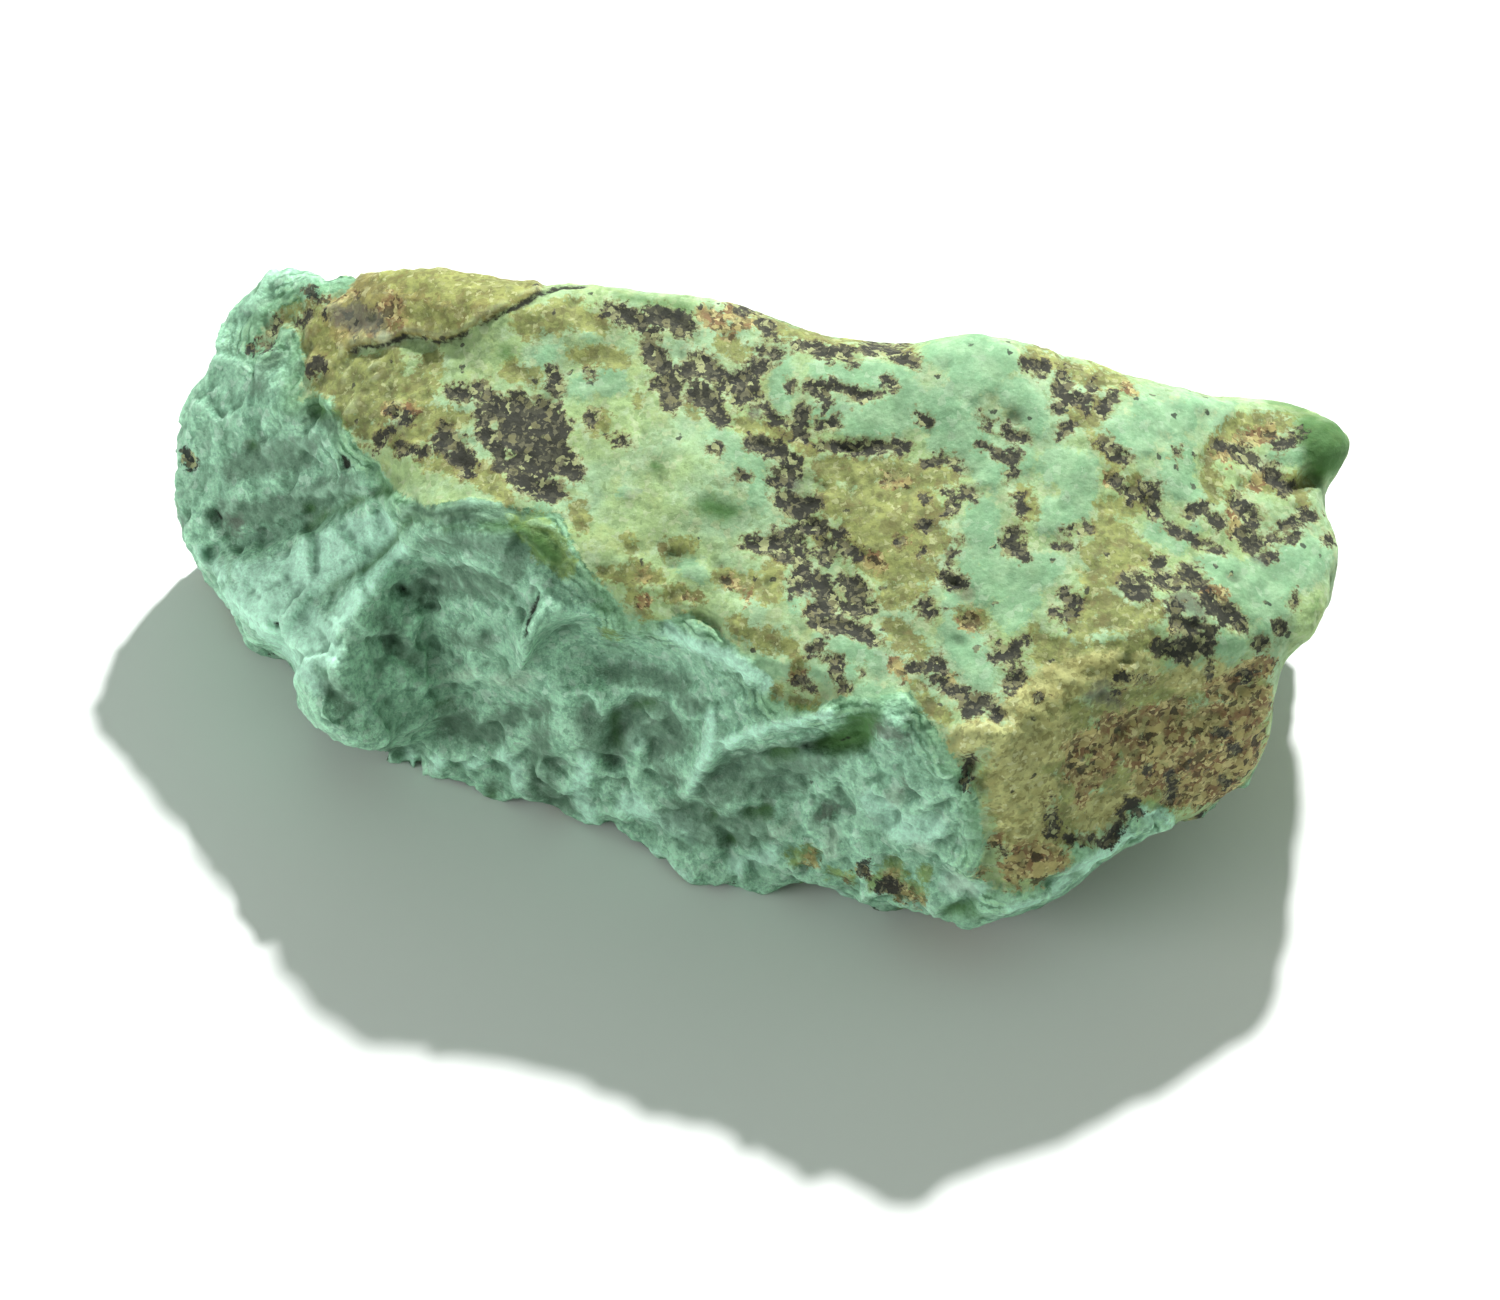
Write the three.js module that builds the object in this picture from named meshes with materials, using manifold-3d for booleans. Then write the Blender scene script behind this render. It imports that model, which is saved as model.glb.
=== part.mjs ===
// A piece of rough chrysoprase: one solid stone at rest on its flattest side.
// Millimetres, Z up, X along the longest extent. The weathered rind faces up
// and the broken face stands toward -Y.
import * as THREE from 'three';
import { mergeVertices } from 'three/addons/utils/BufferGeometryUtils.js';
import { ImprovedNoise } from 'three/addons/math/ImprovedNoise.js';
import Module from 'manifold-3d';

const SKIN_DETAIL = 20; // icosphere divisions, about 1.1 mm between skin points
const HEART = new THREE.Vector3(-1, 1.5, 10.5); // inner point that sees the whole skin
const SPREAD = new THREE.Vector3(29, 15, 12); // half sizes the skin rays are fanned by
const REACH = 45; // longest possible ray
const MARCH = 0.5; // ray step
const CLOSINGS = 18; // halvings that close a ray in on the skin
const LEAN = THREE.MathUtils.degToRad(50); // lean of the map the showing faces are drawn on
const EDGE_ROUNDING = 1.6; // softness where two faces meet
const RIM_ROUNDING = 1.0; // softness where a face meets the stone's profile
const BED_DEPTH = 2.5; // the raw stone reaches this far below the rest plane
const CUT_BLOCK = new THREE.Vector3(120, 80, 20); // block that cuts the rest plane
const MERGE = 1e-5; // distance under which two points are one
const STONE_COLOUR = 0x93aa82;
const STONE_ROUGHNESS = 0.85;

// Faces the relief is set on: outward direction and one point on the face.
const SHOWING_FACES = [
  { facing: [-0.04, -0.31, 0.95], through: [-19.2, 0.9, 21.2] }, // rind, sloping to the front
  { facing: [0.42, -0.1, 0.9], through: [18, 0, 21.8] }, // rind, falling to the right end
  { facing: [0.455, -0.88, 0.13], through: [12.3, -12.7, 15.9] }, // rind, rolling under at front right
  { facing: [-0.43, -0.9, 0], through: [-19.2, 0.6, 21.8] }, // broken face
  { facing: [-1.05, -0.53, 0.86], through: [-20, 2.5, 20.4] }, // left end face
  { facing: [-1.1, -0.18, 1.15], through: [-23, 9.7, 21.2] }, // left shoulder
];

// Faces turned away or down.
const HIDDEN_FACES = [
  { facing: [-0.45, 0.88, -0.05], through: [-27.5, 16, 8] }, // back, left third
  { facing: [0.03, 0.99, 0.1], through: [0, 15.5, 8] }, // back, middle
  { facing: [0.5, 0.86, 0.05], through: [26, 12.5, 8] }, // back, right third
  { facing: [0.97, -0.2, -0.1], through: [31, 4, 10] }, // right end
  { facing: [0.34, -0.1, -0.93], through: [10, 0, 0] }, // underside, lifting to the right
];

// Profile of the stone seen square to the map: points (u across, v up the map).
const PROFILE = [
  [-23.2, 26.0], [-21.5, 25.6], [-20.6, 23.6], [-19.4, 24.9], [-16.2, 24.9], [-13.2, 24.0],
  [-8.8, 24.1], [-3.2, 23.6], [-0.7, 23.1], [3.2, 21.7], [7.6, 21.1], [10.4, 21.9], [14.0, 21.1],
  [19.2, 19.3], [22.4, 18.4], [25.8, 18.5], [28.2, 17.8], [29.7, 16.5], [29.0, 15.1], [27.2, 14.0],
  [28.5, 11.5], [28.0, 8.4], [25.9, 4.6], [25.6, 2.4], [25.0, -0.2], [21.4, -3.0], [18.0, -4.0],
  [15.2, -6.8], [13.2, -7.6], [9.6, -8.3], [8.1, -6.8], [6.6, -7.0], [3.2, -5.4], [1.2, -5.4],
  [-2.4, -7.4], [-6.4, -5.4], [-11.2, -3.0], [-16.4, -2.2], [-20.8, -0.3], [-23.6, 2.8],
  [-24.0, 5.9], [-26.4, 6.3], [-29.7, 11.0], [-30.2, 13.4], [-30.0, 16.6], [-29.2, 18.7],
  [-27.9, 20.6], [-26.9, 24.0], [-25.2, 25.8],
];

// Swellings (height above 0) and hollows (height below 0) of the showing faces:
// map position, half length and half width, height, and turn of the length from the u axis in degrees.
const RELIEF = [
  { at: [-26.0, 20.8], size: [2.6, 2.4], height: 0.8, turn: 30 }, // top of the left lobe
  { at: [-20.8, 22.6], size: [0.9, 2.4], height: -1.0, turn: -10 }, // groove between lobe and crust
  { at: [-25.2, 13.6], size: [3.8, 2.4], height: -2.4, turn: 22 }, // shaded hollow of the left lobe
  { at: [-24.0, 8.4], size: [3.6, 1.6], height: 1.2, turn: 25 }, // shelf under the hollow
  { at: [-21.2, 7.6], size: [4.6, 1.8], height: 1.8, turn: 50 }, // buttress rising to the ridge
  { at: [-22.6, 4.2], size: [2.4, 1.6], height: 1.4, turn: 60 }, // foot of the buttress
  { at: [-18.4, 14.2], size: [1.2, 0.8], height: -1.0, turn: 0 }, // notch at the left end of the ridge
  { at: [-17.6, 8.4], size: [3.2, 1.8], height: -1.2, turn: 50 }, // rough hollow right of the buttress
  { at: [-15.0, 12.2], size: [3.2, 1.0], height: 0.6, turn: -12 }, // layered swelling under the ridge
  { at: [-6.7, 5.6], size: [3.8, 1.8], height: -1.4, turn: -12 }, // shell-shaped hollow
  { at: [-5.4, 1.8], size: [2.2, 1.5], height: -1.0, turn: 0 }, // hollow under the shell
  { at: [-3.2, 0.6], size: [1.9, 0.9], height: 0.6, turn: 75 }, // pale rib
  { at: [-18.0, 1.0], size: [3.4, 1.2], height: 0.9, turn: -20 }, // nodules along the left foot
  { at: [-9.6, 1.2], size: [2.8, 1.8], height: 0.8, turn: -20 }, // round swelling above the foot
  { at: [4.2, 1.5], size: [1.9, 0.9], height: -0.8, turn: 12 }, // deep crevice
  { at: [6.2, 1.9], size: [1.2, 1.2], height: 0.5, turn: 0 }, // knob beside the crevice
  { at: [1.8, -0.8], size: [2.4, 1.3], height: -0.6, turn: -20 }, // pitted hollow under the crevice
  { at: [-3.0, -6.2], size: [2.6, 1.6], height: 1.1, turn: -10 }, // toe of the broken face
  { at: [10.6, 1.7], size: [1.6, 1.0], height: 0.6, turn: -8 }, // raised flake on the edge
  { at: [10.6, -7.2], size: [1.6, 0.9], height: 0.5, turn: 0 }, // nub at the lowest point
  { at: [14.0, -4.8], size: [2.6, 1.0], height: 0.6, turn: 30 }, // lip of the rolled rind
  { at: [-12.6, 22.6], size: [4.6, 1.2], height: 0.6, turn: -5 }, // crust layer along the back edge
  { at: [-15.8, 19.8], size: [4.6, 1.0], height: -0.5, turn: 8 }, // step under the crust layer
  { at: [-13.0, 16.5], size: [4.0, 2.4], height: -0.4, turn: -25 }, // dark dip in the rind
  { at: [-4.0, 14.5], size: [3.8, 3.0], height: 0.6, turn: -50 }, // pale swelling
  { at: [2.4, 11.6], size: [4.4, 1.4], height: -0.7, turn: -60 }, // gully between the swellings
  { at: [4.8, 18.5], size: [3.4, 2.0], height: 0.5, turn: -10 }, // outlined swelling
  { at: [10.5, 19.2], size: [2.6, 2.2], height: 0.8, turn: 60 }, // lobe on the back edge
  { at: [7.0, 11.5], size: [3.4, 2.8], height: 0.5, turn: 0 }, // brownish swelling
  { at: [12.2, 6.0], size: [2.8, 1.5], height: 0.5, turn: 70 }, // outlined swelling over the edge
  { at: [17.5, 8.0], size: [2.6, 2.2], height: 0.5, turn: 0 }, // swelling in the right half
  { at: [20.0, 11.8], size: [3.4, 1.4], height: -0.6, turn: -30 }, // gully in the right half
  { at: [28.4, 16.6], size: [1.8, 1.4], height: 1.2, turn: -30 }, // nub on the right end
  { at: [20.5, 1.0], size: [3.6, 1.4], height: 0.5, turn: 15 }, // crusted swelling at lower right
];

// Overall unevenness: wavelength and height of each layer of noise.
const UNEVENNESS = [
  { wave: 9, height: 0.55 },
  { wave: 4.2, height: 0.32 },
  { wave: 2.3, height: 0.16 },
];

const noise = new ImprovedNoise();
const showingPlanes = SHOWING_FACES.map(toPlane);
const hiddenPlanes = HIDDEN_FACES.map(toPlane);
const profile = PROFILE.map((point) => new THREE.Vector2(...point));

function toPlane({ facing, through }) {
  const outward = new THREE.Vector3(...facing).normalize();
  return new THREE.Plane().setFromNormalAndCoplanarPoint(outward, new THREE.Vector3(...through));
}

// Place of a point on the leaning map.
function toMap(point) {
  return { u: point.x, v: point.y * Math.sin(LEAN) + point.z * Math.cos(LEAN) };
}

// The larger of two depths, with the crossing rounded off.
function roundedMax(a, b, rounding) {
  const overlap = Math.max(rounding - Math.abs(a - b), 0);
  return Math.max(a, b) + (overlap * overlap) / (4 * rounding);
}

function distanceToSegment(x, y, start, end) {
  const dx = end.x - start.x;
  const dy = end.y - start.y;
  const along = ((x - start.x) * dx + (y - start.y) * dy) / (dx * dx + dy * dy);
  const t = THREE.MathUtils.clamp(along, 0, 1);
  return Math.hypot(x - start.x - t * dx, y - start.y - t * dy);
}

// Distance to the profile, below zero inside it.
function profileDistance(u, v) {
  let nearest = Infinity;
  let inside = false;
  for (let i = 0; i < profile.length; i += 1) {
    const start = profile[i];
    const end = profile[(i + 1) % profile.length];
    nearest = Math.min(nearest, distanceToSegment(u, v, start, end));
    if ((start.y > v) !== (end.y > v)) {
      const crossing = start.x + ((v - start.y) * (end.x - start.x)) / (end.y - start.y);
      if (u < crossing) inside = !inside;
    }
  }
  return inside ? -nearest : nearest;
}

function reliefAt(u, v) {
  let total = 0;
  for (const { at, size, height, turn } of RELIEF) {
    const angle = THREE.MathUtils.degToRad(turn);
    const along = (u - at[0]) * Math.cos(angle) + (v - at[1]) * Math.sin(angle);
    const across = (v - at[1]) * Math.cos(angle) - (u - at[0]) * Math.sin(angle);
    total += height * Math.exp(-((along / size[0]) ** 2) - (across / size[1]) ** 2);
  }
  return total;
}

function unevennessAt(point) {
  let height = 0;
  for (const { wave, height: swing } of UNEVENNESS) {
    height += swing * noise.noise(point.x / wave, point.y / wave, point.z / wave);
  }
  return height;
}

// Height above the outermost of some planes, crossings rounded off.
function heightOver(planes, point) {
  const heights = planes.map((plane) => plane.distanceToPoint(point));
  return heights.reduce((highest, height) => roundedMax(highest, height, EDGE_ROUNDING));
}

// Height above the stone's skin: below zero inside the stone.
function skinHeight(point) {
  const { u, v } = toMap(point);
  const showing = heightOver(showingPlanes, point) - reliefAt(u, v);
  const hidden = Math.max(heightOver(hiddenPlanes, point), -BED_DEPTH - point.z);
  const faces = roundedMax(showing, hidden, EDGE_ROUNDING);
  return roundedMax(faces, profileDistance(u, v), RIM_ROUNDING) - unevennessAt(point);
}

// Walks out from the heart until the skin is crossed, then closes in on it.
function skinPoint(direction) {
  const at = (t) => HEART.clone().addScaledVector(direction, t);
  let inner = 0;
  while (inner < REACH && skinHeight(at(inner + MARCH)) < 0) inner += MARCH;
  let outer = inner + MARCH;
  for (let i = 0; i < CLOSINGS; i += 1) {
    const middle = (inner + outer) / 2;
    if (skinHeight(at(middle)) < 0) inner = middle;
    else outer = middle;
  }
  return at(inner);
}

// Only the shape of a geometry, its shared corners merged.
function bareGeometry(geometry) {
  geometry.deleteAttribute('normal');
  geometry.deleteAttribute('uv');
  return mergeVertices(geometry, MERGE);
}

// The whole lump, still running on below the rest plane.
function rawStone() {
  const skin = bareGeometry(new THREE.IcosahedronGeometry(1, SKIN_DETAIL));
  const position = skin.attributes.position;
  for (let i = 0; i < position.count; i += 1) {
    const direction = new THREE.Vector3().fromBufferAttribute(position, i).multiply(SPREAD);
    const point = skinPoint(direction.normalize());
    position.setXYZ(i, point.x, point.y, point.z);
  }
  return skin;
}

// Everything the rest plane takes off.
function belowRestPlane() {
  const block = new THREE.BoxGeometry(CUT_BLOCK.x, CUT_BLOCK.y, CUT_BLOCK.z);
  block.translate(0, 0, -CUT_BLOCK.z / 2);
  return bareGeometry(block);
}

const wasm = await Module();
wasm.setup();

function toSolid(geometry) {
  return new wasm.Manifold(new wasm.Mesh({
    numProp: 3,
    vertProperties: new Float32Array(geometry.attributes.position.array),
    triVerts: new Uint32Array(geometry.index.array),
  }));
}

function toGeometry(solid) {
  const mesh = solid.getMesh();
  const geometry = new THREE.BufferGeometry();
  geometry.setAttribute('position', new THREE.BufferAttribute(mesh.vertProperties, 3));
  geometry.setIndex(new THREE.BufferAttribute(mesh.triVerts, 1));
  return geometry;
}

// The stone with a flat bed, its footprint's middle on the origin.
function stoneGeometry() {
  const geometry = toGeometry(toSolid(rawStone()).subtract(toSolid(belowRestPlane())));
  geometry.computeBoundingBox();
  const middle = geometry.boundingBox.getCenter(new THREE.Vector3());
  geometry.translate(-middle.x, -middle.y, 0);
  geometry.computeVertexNormals();
  return geometry;
}

const stone = new THREE.Mesh(
  stoneGeometry(),
  new THREE.MeshStandardMaterial({ color: STONE_COLOUR, roughness: STONE_ROUGHNESS, metalness: 0 }),
);
stone.name = 'stone';

const part = new THREE.Group();
part.name = 'chrysoprase';
part.add(stone);
export default part;
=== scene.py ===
import math
from itertools import product

import bmesh
import bpy
import numpy as np
from mathutils import Matrix, Vector


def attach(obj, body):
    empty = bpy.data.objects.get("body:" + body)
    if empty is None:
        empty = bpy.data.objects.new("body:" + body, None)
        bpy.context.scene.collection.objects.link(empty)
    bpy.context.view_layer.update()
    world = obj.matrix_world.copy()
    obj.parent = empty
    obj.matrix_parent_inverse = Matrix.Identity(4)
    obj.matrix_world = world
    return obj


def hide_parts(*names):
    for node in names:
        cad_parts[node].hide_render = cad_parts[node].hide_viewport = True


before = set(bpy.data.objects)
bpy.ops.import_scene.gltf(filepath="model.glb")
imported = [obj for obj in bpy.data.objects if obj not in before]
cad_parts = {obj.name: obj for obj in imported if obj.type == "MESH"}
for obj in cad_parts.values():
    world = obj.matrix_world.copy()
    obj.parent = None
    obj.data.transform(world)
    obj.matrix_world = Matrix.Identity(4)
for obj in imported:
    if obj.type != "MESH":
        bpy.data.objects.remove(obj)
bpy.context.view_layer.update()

# Lengths are millimetres until a mesh or a lamp is made, which takes metres.
MM = 0.001

# The showing side is laid out on a map square to the camera's line of sight:
# u runs to the right, v up the map, both in millimetres.
LEAN = math.radians(50)
MAP_SHIFT = (0.243, -1.384)  # map zero in the frame's X and Y
CAMERA_AIM = (-0.75, 6.0, 8.0)  # u, v and height over the map the camera looks at
CAMERA_DISTANCE = 375.0
FIELD_WIDTH = 75.0
SENSOR = 36.0

ROUGH_VOXEL = 0.35
FINE_VOXEL = 0.21
MOST_TRIANGLES = 192000  # faces over this are merged away where the camera doesn't look
BED_SKIN = 0.05  # points lower than this belong to the flat bed

# Lamps: place, width and power in watts.
KEY_LAMP = ((58.0, 165.0, 243.0), 16.0, 1.28)
FILL_LAMP = ((-290.0, -120.0, 75.0), 220.0, 0.55)
SKY_STRENGTH = 0.352
SKY_LEAN = (0.2, 0.18)  # how much brighter the sky is to the right of the stone and behind it than above it
SKY_TINT = (0.87, 1.0, 0.88)
FLOOR_HALF = 2.0  # half the width of the floor, in metres

# ---------------------------------------------------------------- layout of the showing side

# Edge of the weathered rind; everything showing outside it is the broken face.
RIND = [
    (-20.6, 24.1), (-19.6, 25.8), (-10, 25.6), (10, 23.5), (30.5, 19.5), (30.5, 5.5), (26.3, 4), (26.3, 0),
    (25, -2), (22, -3.4), (20.8, -3.2), (20.4, -2.1), (19.3, -1.5), (18.3, -1.9), (18, -2.5), (17.6, -3.5),
    (17, -4), (15.2, -3.6), (15.5, -4.6), (14.8, -5), (13.8, -5.8), (12.6, -6.1), (11, -5.7), (10.6, -5.2),
    (11, -3.7), (10.8, -2.3), (10.5, -1), (10.1, -0.2), (9.4, 0.8), (8.4, 2.2), (7.2, 4), (5.5, 3.6),
    (3.6, 3.7), (2.4, 3.1), (0.4, 3.6), (0.4, 4.6), (-1.2, 5.9), (-2.2, 6.9), (-3.9, 7.9), (-5.2, 7.4),
    (-6.9, 7.6), (-7.8, 9), (-9.1, 10.3), (-10.2, 12.9), (-12.4, 13.2), (-14.6, 13.6), (-17, 13.2),
    (-18.5, 14), (-19.2, 15.2), (-20.3, 16.1), (-21.6, 18.4), (-22.4, 18.9), (-23.3, 18.4), (-23, 20.4),
    (-23.4, 22), (-24.2, 22.2), (-24.7, 21), (-25.4, 21.2), (-25.1, 22.2), (-24.2, 23.1), (-22, 23.8),
]

# The thick crust layer along the upper left edge, broken off along its lower side.
CRUST = [
    (-20.6, 24.1), (-19.8, 26), (-11, 26), (-11.2, 23.8), (-12.4, 23.3), (-14.2, 22.3), (-15.3, 21.6),
    (-16.3, 21.4), (-17.8, 21.7), (-19, 21.3), (-20.3, 21.1), (-21.2, 20.3), (-23, 19.7), (-23, 22.4),
]

# Patches are chains of round blots: u, v and radius of each. This is the black crust.
BLACK = [
    [(-12.6, 18, 0.9), (-12.3, 17, 1), (-11.2, 17.8, 0.8), (-10.5, 17.2, 0.6)],
    [(-12.1, 15.3, 0.8), (-10.7, 15.9, 0.8), (-9.6, 15, 0.4)],
    [(-12.3, 14.6, 0.4), (-11.6, 14.1, 0.4), (-10.4, 14, 0.4)],
    [(-14.2, 19.2, 0.3), (-13.6, 18.3, 0.6), (-14.2, 17.4, 0.3)],
    [(-14, 16.9, 0.3), (-13.4, 16.1, 0.2), (-13.1, 15.3, 0.2)], [(-15.7, 18.9, 0.22), (-15, 18.8, 0.25)],
    [(-10.5, 19.9, 0.2), (-10.4, 19.2, 0.3)], [(-8.7, 17.6, 0.22)], [(-7.5, 16.7, 0.2), (-7.3, 16.5, 0.25)],
    [(-2.8, 16.1, 0.1), (-2.4, 16, 0.15)], [(-8.7, 19.9, 0.1)], [(-1.1, 14.7, 0.2)],
    [(-18.9, 17, 0.2), (-19.4, 16.3, 0.3)], [(-18.5, 17.9, 0.25), (-17.9, 17.5, 0.2)],
    [(-18.4, 16.2, 0.2), (-17.6, 16, 0.2), (-17, 16, 0.25)],
    [(-16.4, 16.6, 0.3), (-15.6, 16.4, 0.5), (-15.3, 15.7, 0.5), (-14.9, 15, 0.3)], [(-16.1, 17.1, 0.25)],
    [(-7.9, 23.1, 0.3), (-7, 22.9, 0.35), (-6.3, 22.3, 0.35)],
    [(-5.5, 22.8, 0.4), (-4.6, 22.6, 0.4), (-4, 22.1, 0.35)],
    [(-5.7, 21.7, 0.25), (-5.9, 21.3, 0.3), (-5.4, 20.8, 0.45), (-5.2, 20.2, 0.3)],
    [(-5.5, 19.3, 0.25), (-4.6, 19.3, 0.5), (-4.7, 18.5, 0.4)],
    [(-4.2, 20, 0.3), (-3.1, 20.4, 0.5), (-2.4, 19.9, 0.4)],
    [(-3.5, 18.9, 0.35), (-2.8, 18.6, 0.4), (-2.4, 18, 0.35), (-2, 17.5, 0.25)],
    [(-2.1, 19.3, 0.3), (-1.2, 19.4, 0.5), (-0.4, 20.1, 0.35), (0, 20.3, 0.2)],
    [(-1.4, 18.6, 0.3), (-0.5, 18.8, 0.3)], [(-0.2, 22.6, 0.2), (0.2, 22.1, 0.35), (0.3, 21.7, 0.2)],
    [(-1.4, 23.2, 0.15), (-0.9, 23.1, 0.2)], [(0.5, 20.9, 0.25), (-0.1, 21, 0.2)],
    [(0.1, 18.1, 0.15), (0.4, 17.5, 0.15), (1.2, 17.3, 0.2)],
    [(1.8, 18, 0.22), (1.7, 17.2, 0.2), (1.9, 16.6, 0.25)],
    [(-0.8, 16.3, 0.15), (-0.1, 16.3, 0.3), (0.9, 15.8, 0.3)],
    [(1.6, 21.3, 0.15), (2.7, 21.1, 0.3), (3.3, 20.9, 0.3)], [(3.9, 20.9, 0.22), (4.3, 20.5, 0.28)],
    [(5.1, 21.2, 0.25), (5.9, 21.4, 0.3), (6.5, 21, 0.3), (7.5, 20.5, 0.22)],
    [(2.2, 19.3, 0.2), (2.8, 18.9, 0.28), (3.1, 18.5, 0.18)],
    [(3.5, 19.2, 0.22), (4.1, 19, 0.12), (4.5, 18.6, 0.22), (5.8, 18.9, 0.05)], [(6.2, 19.3, 0.26)],
    [(2.8, 17.2, 0.18), (3.5, 17.3, 0.22)], [(1.4, 19.3, 0.15)], [(7.6, 17.9, 0.1), (8, 17.5, 0.18)],
    [(2.6, 16.2, 0.1), (3.6, 16.2, 0.18), (5.2, 16.1, 0.28), (6, 16.2, 0.15), (7.1, 16.1, 0.18)],
    [(8, 15.4, 0.12), (9.2, 15.6, 0.12), (9.8, 15, 0.1)], [(10.9, 17.7, 0.08), (11.2, 17.3, 0.14)],
    [(12.2, 17, 0.18), (12.4, 16.7, 0.22), (13, 16.7, 0.12)],
    [(10.9, 16.2, 0.12), (11.6, 15.8, 0.1), (12.3, 15.5, 0.08)],
    [(12.6, 15.8, 0.08), (12.4, 15, 0.12), (12.1, 14.7, 0.15)],
    [(0.6, 14.6, 0.3), (1.3, 14.9, 0.35), (1.6, 15.4, 0.25)],
    [(0.8, 13.6, 0.3), (1.7, 13.1, 0.5), (2.5, 13.4, 0.3)],
    [(1.6, 11.9, 0.25), (2, 12.4, 0.25), (2.8, 12.2, 0.2)],
    [(-0.9, 11.4, 0.2), (-0.3, 11.3, 0.35), (0.6, 11.4, 0.35), (1, 10.8, 0.3)],
    [(1.7, 11.5, 0.25), (1.9, 10.3, 0.35), (1.7, 9.3, 0.4)], [(3.1, 11.3, 0.3), (2.9, 10.6, 0.3)],
    [(4.3, 10.9, 0.22), (3.6, 11.8, 0.2)],
    [(2.6, 9.8, 0.3), (3, 8.9, 0.4), (3.3, 8.3, 0.5), (2.3, 8.1, 0.3)],
    [(4.1, 9.4, 0.5), (4.6, 9, 0.5), (4.4, 8.3, 0.5), (5.3, 8.1, 0.25)],
    [(2.6, 7.4, 0.3), (3.4, 7.3, 0.3), (4.2, 7.2, 0.3), (5.4, 6.6, 0.25)],
    [(2.4, 6, 0.18), (2.8, 6.3, 0.18)], [(3.1, 5.7, 0.12), (3.7, 5.4, 0.2), (3.6, 4.6, 0.1)],
    [(4.8, 4.9, 0.15)], [(1.7, 4.3, 0.25), (2.1, 4, 0.22)], [(3.9, 4.2, 0.15)],
    [(7.2, 5.1, 0.18), (8, 5.3, 0.2), (8.6, 5.5, 0.25), (8.9, 5, 0.2)],
    [(8.6, 4.5, 0.25), (9.2, 4.1, 0.28), (9.9, 3.9, 0.2)],
    [(10.1, 3.1, 0.4), (10.7, 3.4, 0.3), (11.4, 3.4, 0.2)], [(11.6, 2.8, 0.25)],
    [(11.9, 3.7, 0.15), (12.3, 4.3, 0.25), (12.7, 4.7, 0.3), (12.2, 5.3, 0.18)],
    [(12.6, 6.3, 0.15), (12.2, 5.9, 0.35), (11.6, 5.7, 0.2)], [(11.5, 6.4, 0.15)],
    [(8.9, 9.6, 0.25), (9.7, 9.4, 0.25)], [(9.1, 10.2, 0.12), (9.4, 10.9, 0.1), (9.8, 11.5, 0.05)],
    [(8, 8.2, 0.35), (8.4, 7.8, 0.25)],
    [(14.4, 7.9, 0.18), (14.9, 7.7, 0.15), (15.3, 8, 0.22), (15.5, 8.5, 0.18), (15, 8.8, 0.2)],
    [(13.2, 6.5, 0.2)], [(9.2, 13.1, 0.18), (9.6, 13.4, 0.15)], [(9.1, 13.9, 0.12)],
    [(10.1, 14, 0.25), (10.4, 13.8, 0.18)], [(8, 12.4, 0.2)], [(7.8, 11, 0.14)], [(7.9, 13.6, 0.12)],
    [(6.7, 11.6, 0.18)], [(12.5, 11.9, 0.3), (12.2, 11.4, 0.3), (12.8, 10.9, 0.25)],
    [(12.8, 13.6, 0.12), (12.9, 13.1, 0.2)], [(14.9, 11.9, 0.1), (15.5, 12.1, 0.14), (16.1, 12.1, 0.1)],
    [(14.6, 11.2, 0.1), (15.2, 11.3, 0.14)], [(13.3, 20.4, 0.25), (13.9, 20.3, 0.3), (13.9, 19.8, 0.2)],
    [(15, 20, 0.2), (14.9, 19.3, 0.38), (14.7, 18.9, 0.25)],
    [(15.3, 18.6, 0.35), (16, 18.6, 0.25), (16.1, 18.1, 0.15)], [(14.7, 18.1, 0.3)],
    [(15.2, 17.3, 0.22), (14.9, 17, 0.15)], [(16.4, 19.3, 0.28)], [(17, 18.1, 0.18), (17.4, 18.7, 0.15)],
    [(17, 16.4, 0.22), (17.4, 15.8, 0.18), (18, 15.7, 0.2)], [(17.6, 14.5, 0.22)],
    [(18.1, 14, 0.2), (18.6, 13.8, 0.28)],
    [(19, 14.3, 0.12), (19.4, 14, 0.22), (19.5, 13.4, 0.2), (19.4, 12.8, 0.12)],
    [(20.1, 12.1, 0.06), (21, 11.9, 0.1), (22, 11.3, 0.14), (22.8, 11, 0.08)],
    [(21.2, 12.8, 0.18), (21.9, 13.1, 0.15), (22.5, 12.6, 0.3), (22.9, 12.6, 0.25)], [(20.6, 15.9, 0.18)],
    [(22.8, 16.4, 0.25)], [(23.8, 15.9, 0.35), (24.3, 15.5, 0.3)],
    [(25.5, 16.3, 0.12), (26.2, 16.6, 0.18), (26.7, 16.9, 0.16)],
    [(25.3, 15.1, 0.18), (25.7, 14.5, 0.28), (26.1, 14.1, 0.22)],
    [(23.6, 13.6, 0.22), (23.9, 13.1, 0.28), (24.4, 12.6, 0.35)],
    [(23.9, 11.9, 0.28), (24.5, 11.3, 0.35), (25.4, 11.7, 0.22)],
    [(26, 12.2, 0.18), (26.7, 12.6, 0.18), (27.5, 12.8, 0.14)], [(26.5, 11.7, 0.22)], [(25.3, 10.7, 0.18)],
    [(28.2, 11.6, 0.14)], [(18.3, 9.5, 0.5), (18.7, 9, 0.5)], [(19.7, 10.4, 0.32)],
    [(19.9, 9.6, 0.45), (20.4, 9.4, 0.4)], [(21, 10, 0.25), (21.6, 9.5, 0.4)],
    [(20.5, 8.2, 0.25), (20.6, 7.4, 0.3), (21.5, 7.1, 0.4)],
    [(22.2, 8.6, 0.3), (22.6, 8.1, 0.35), (23.3, 7.7, 0.4), (23.7, 7.2, 0.25)],
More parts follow.
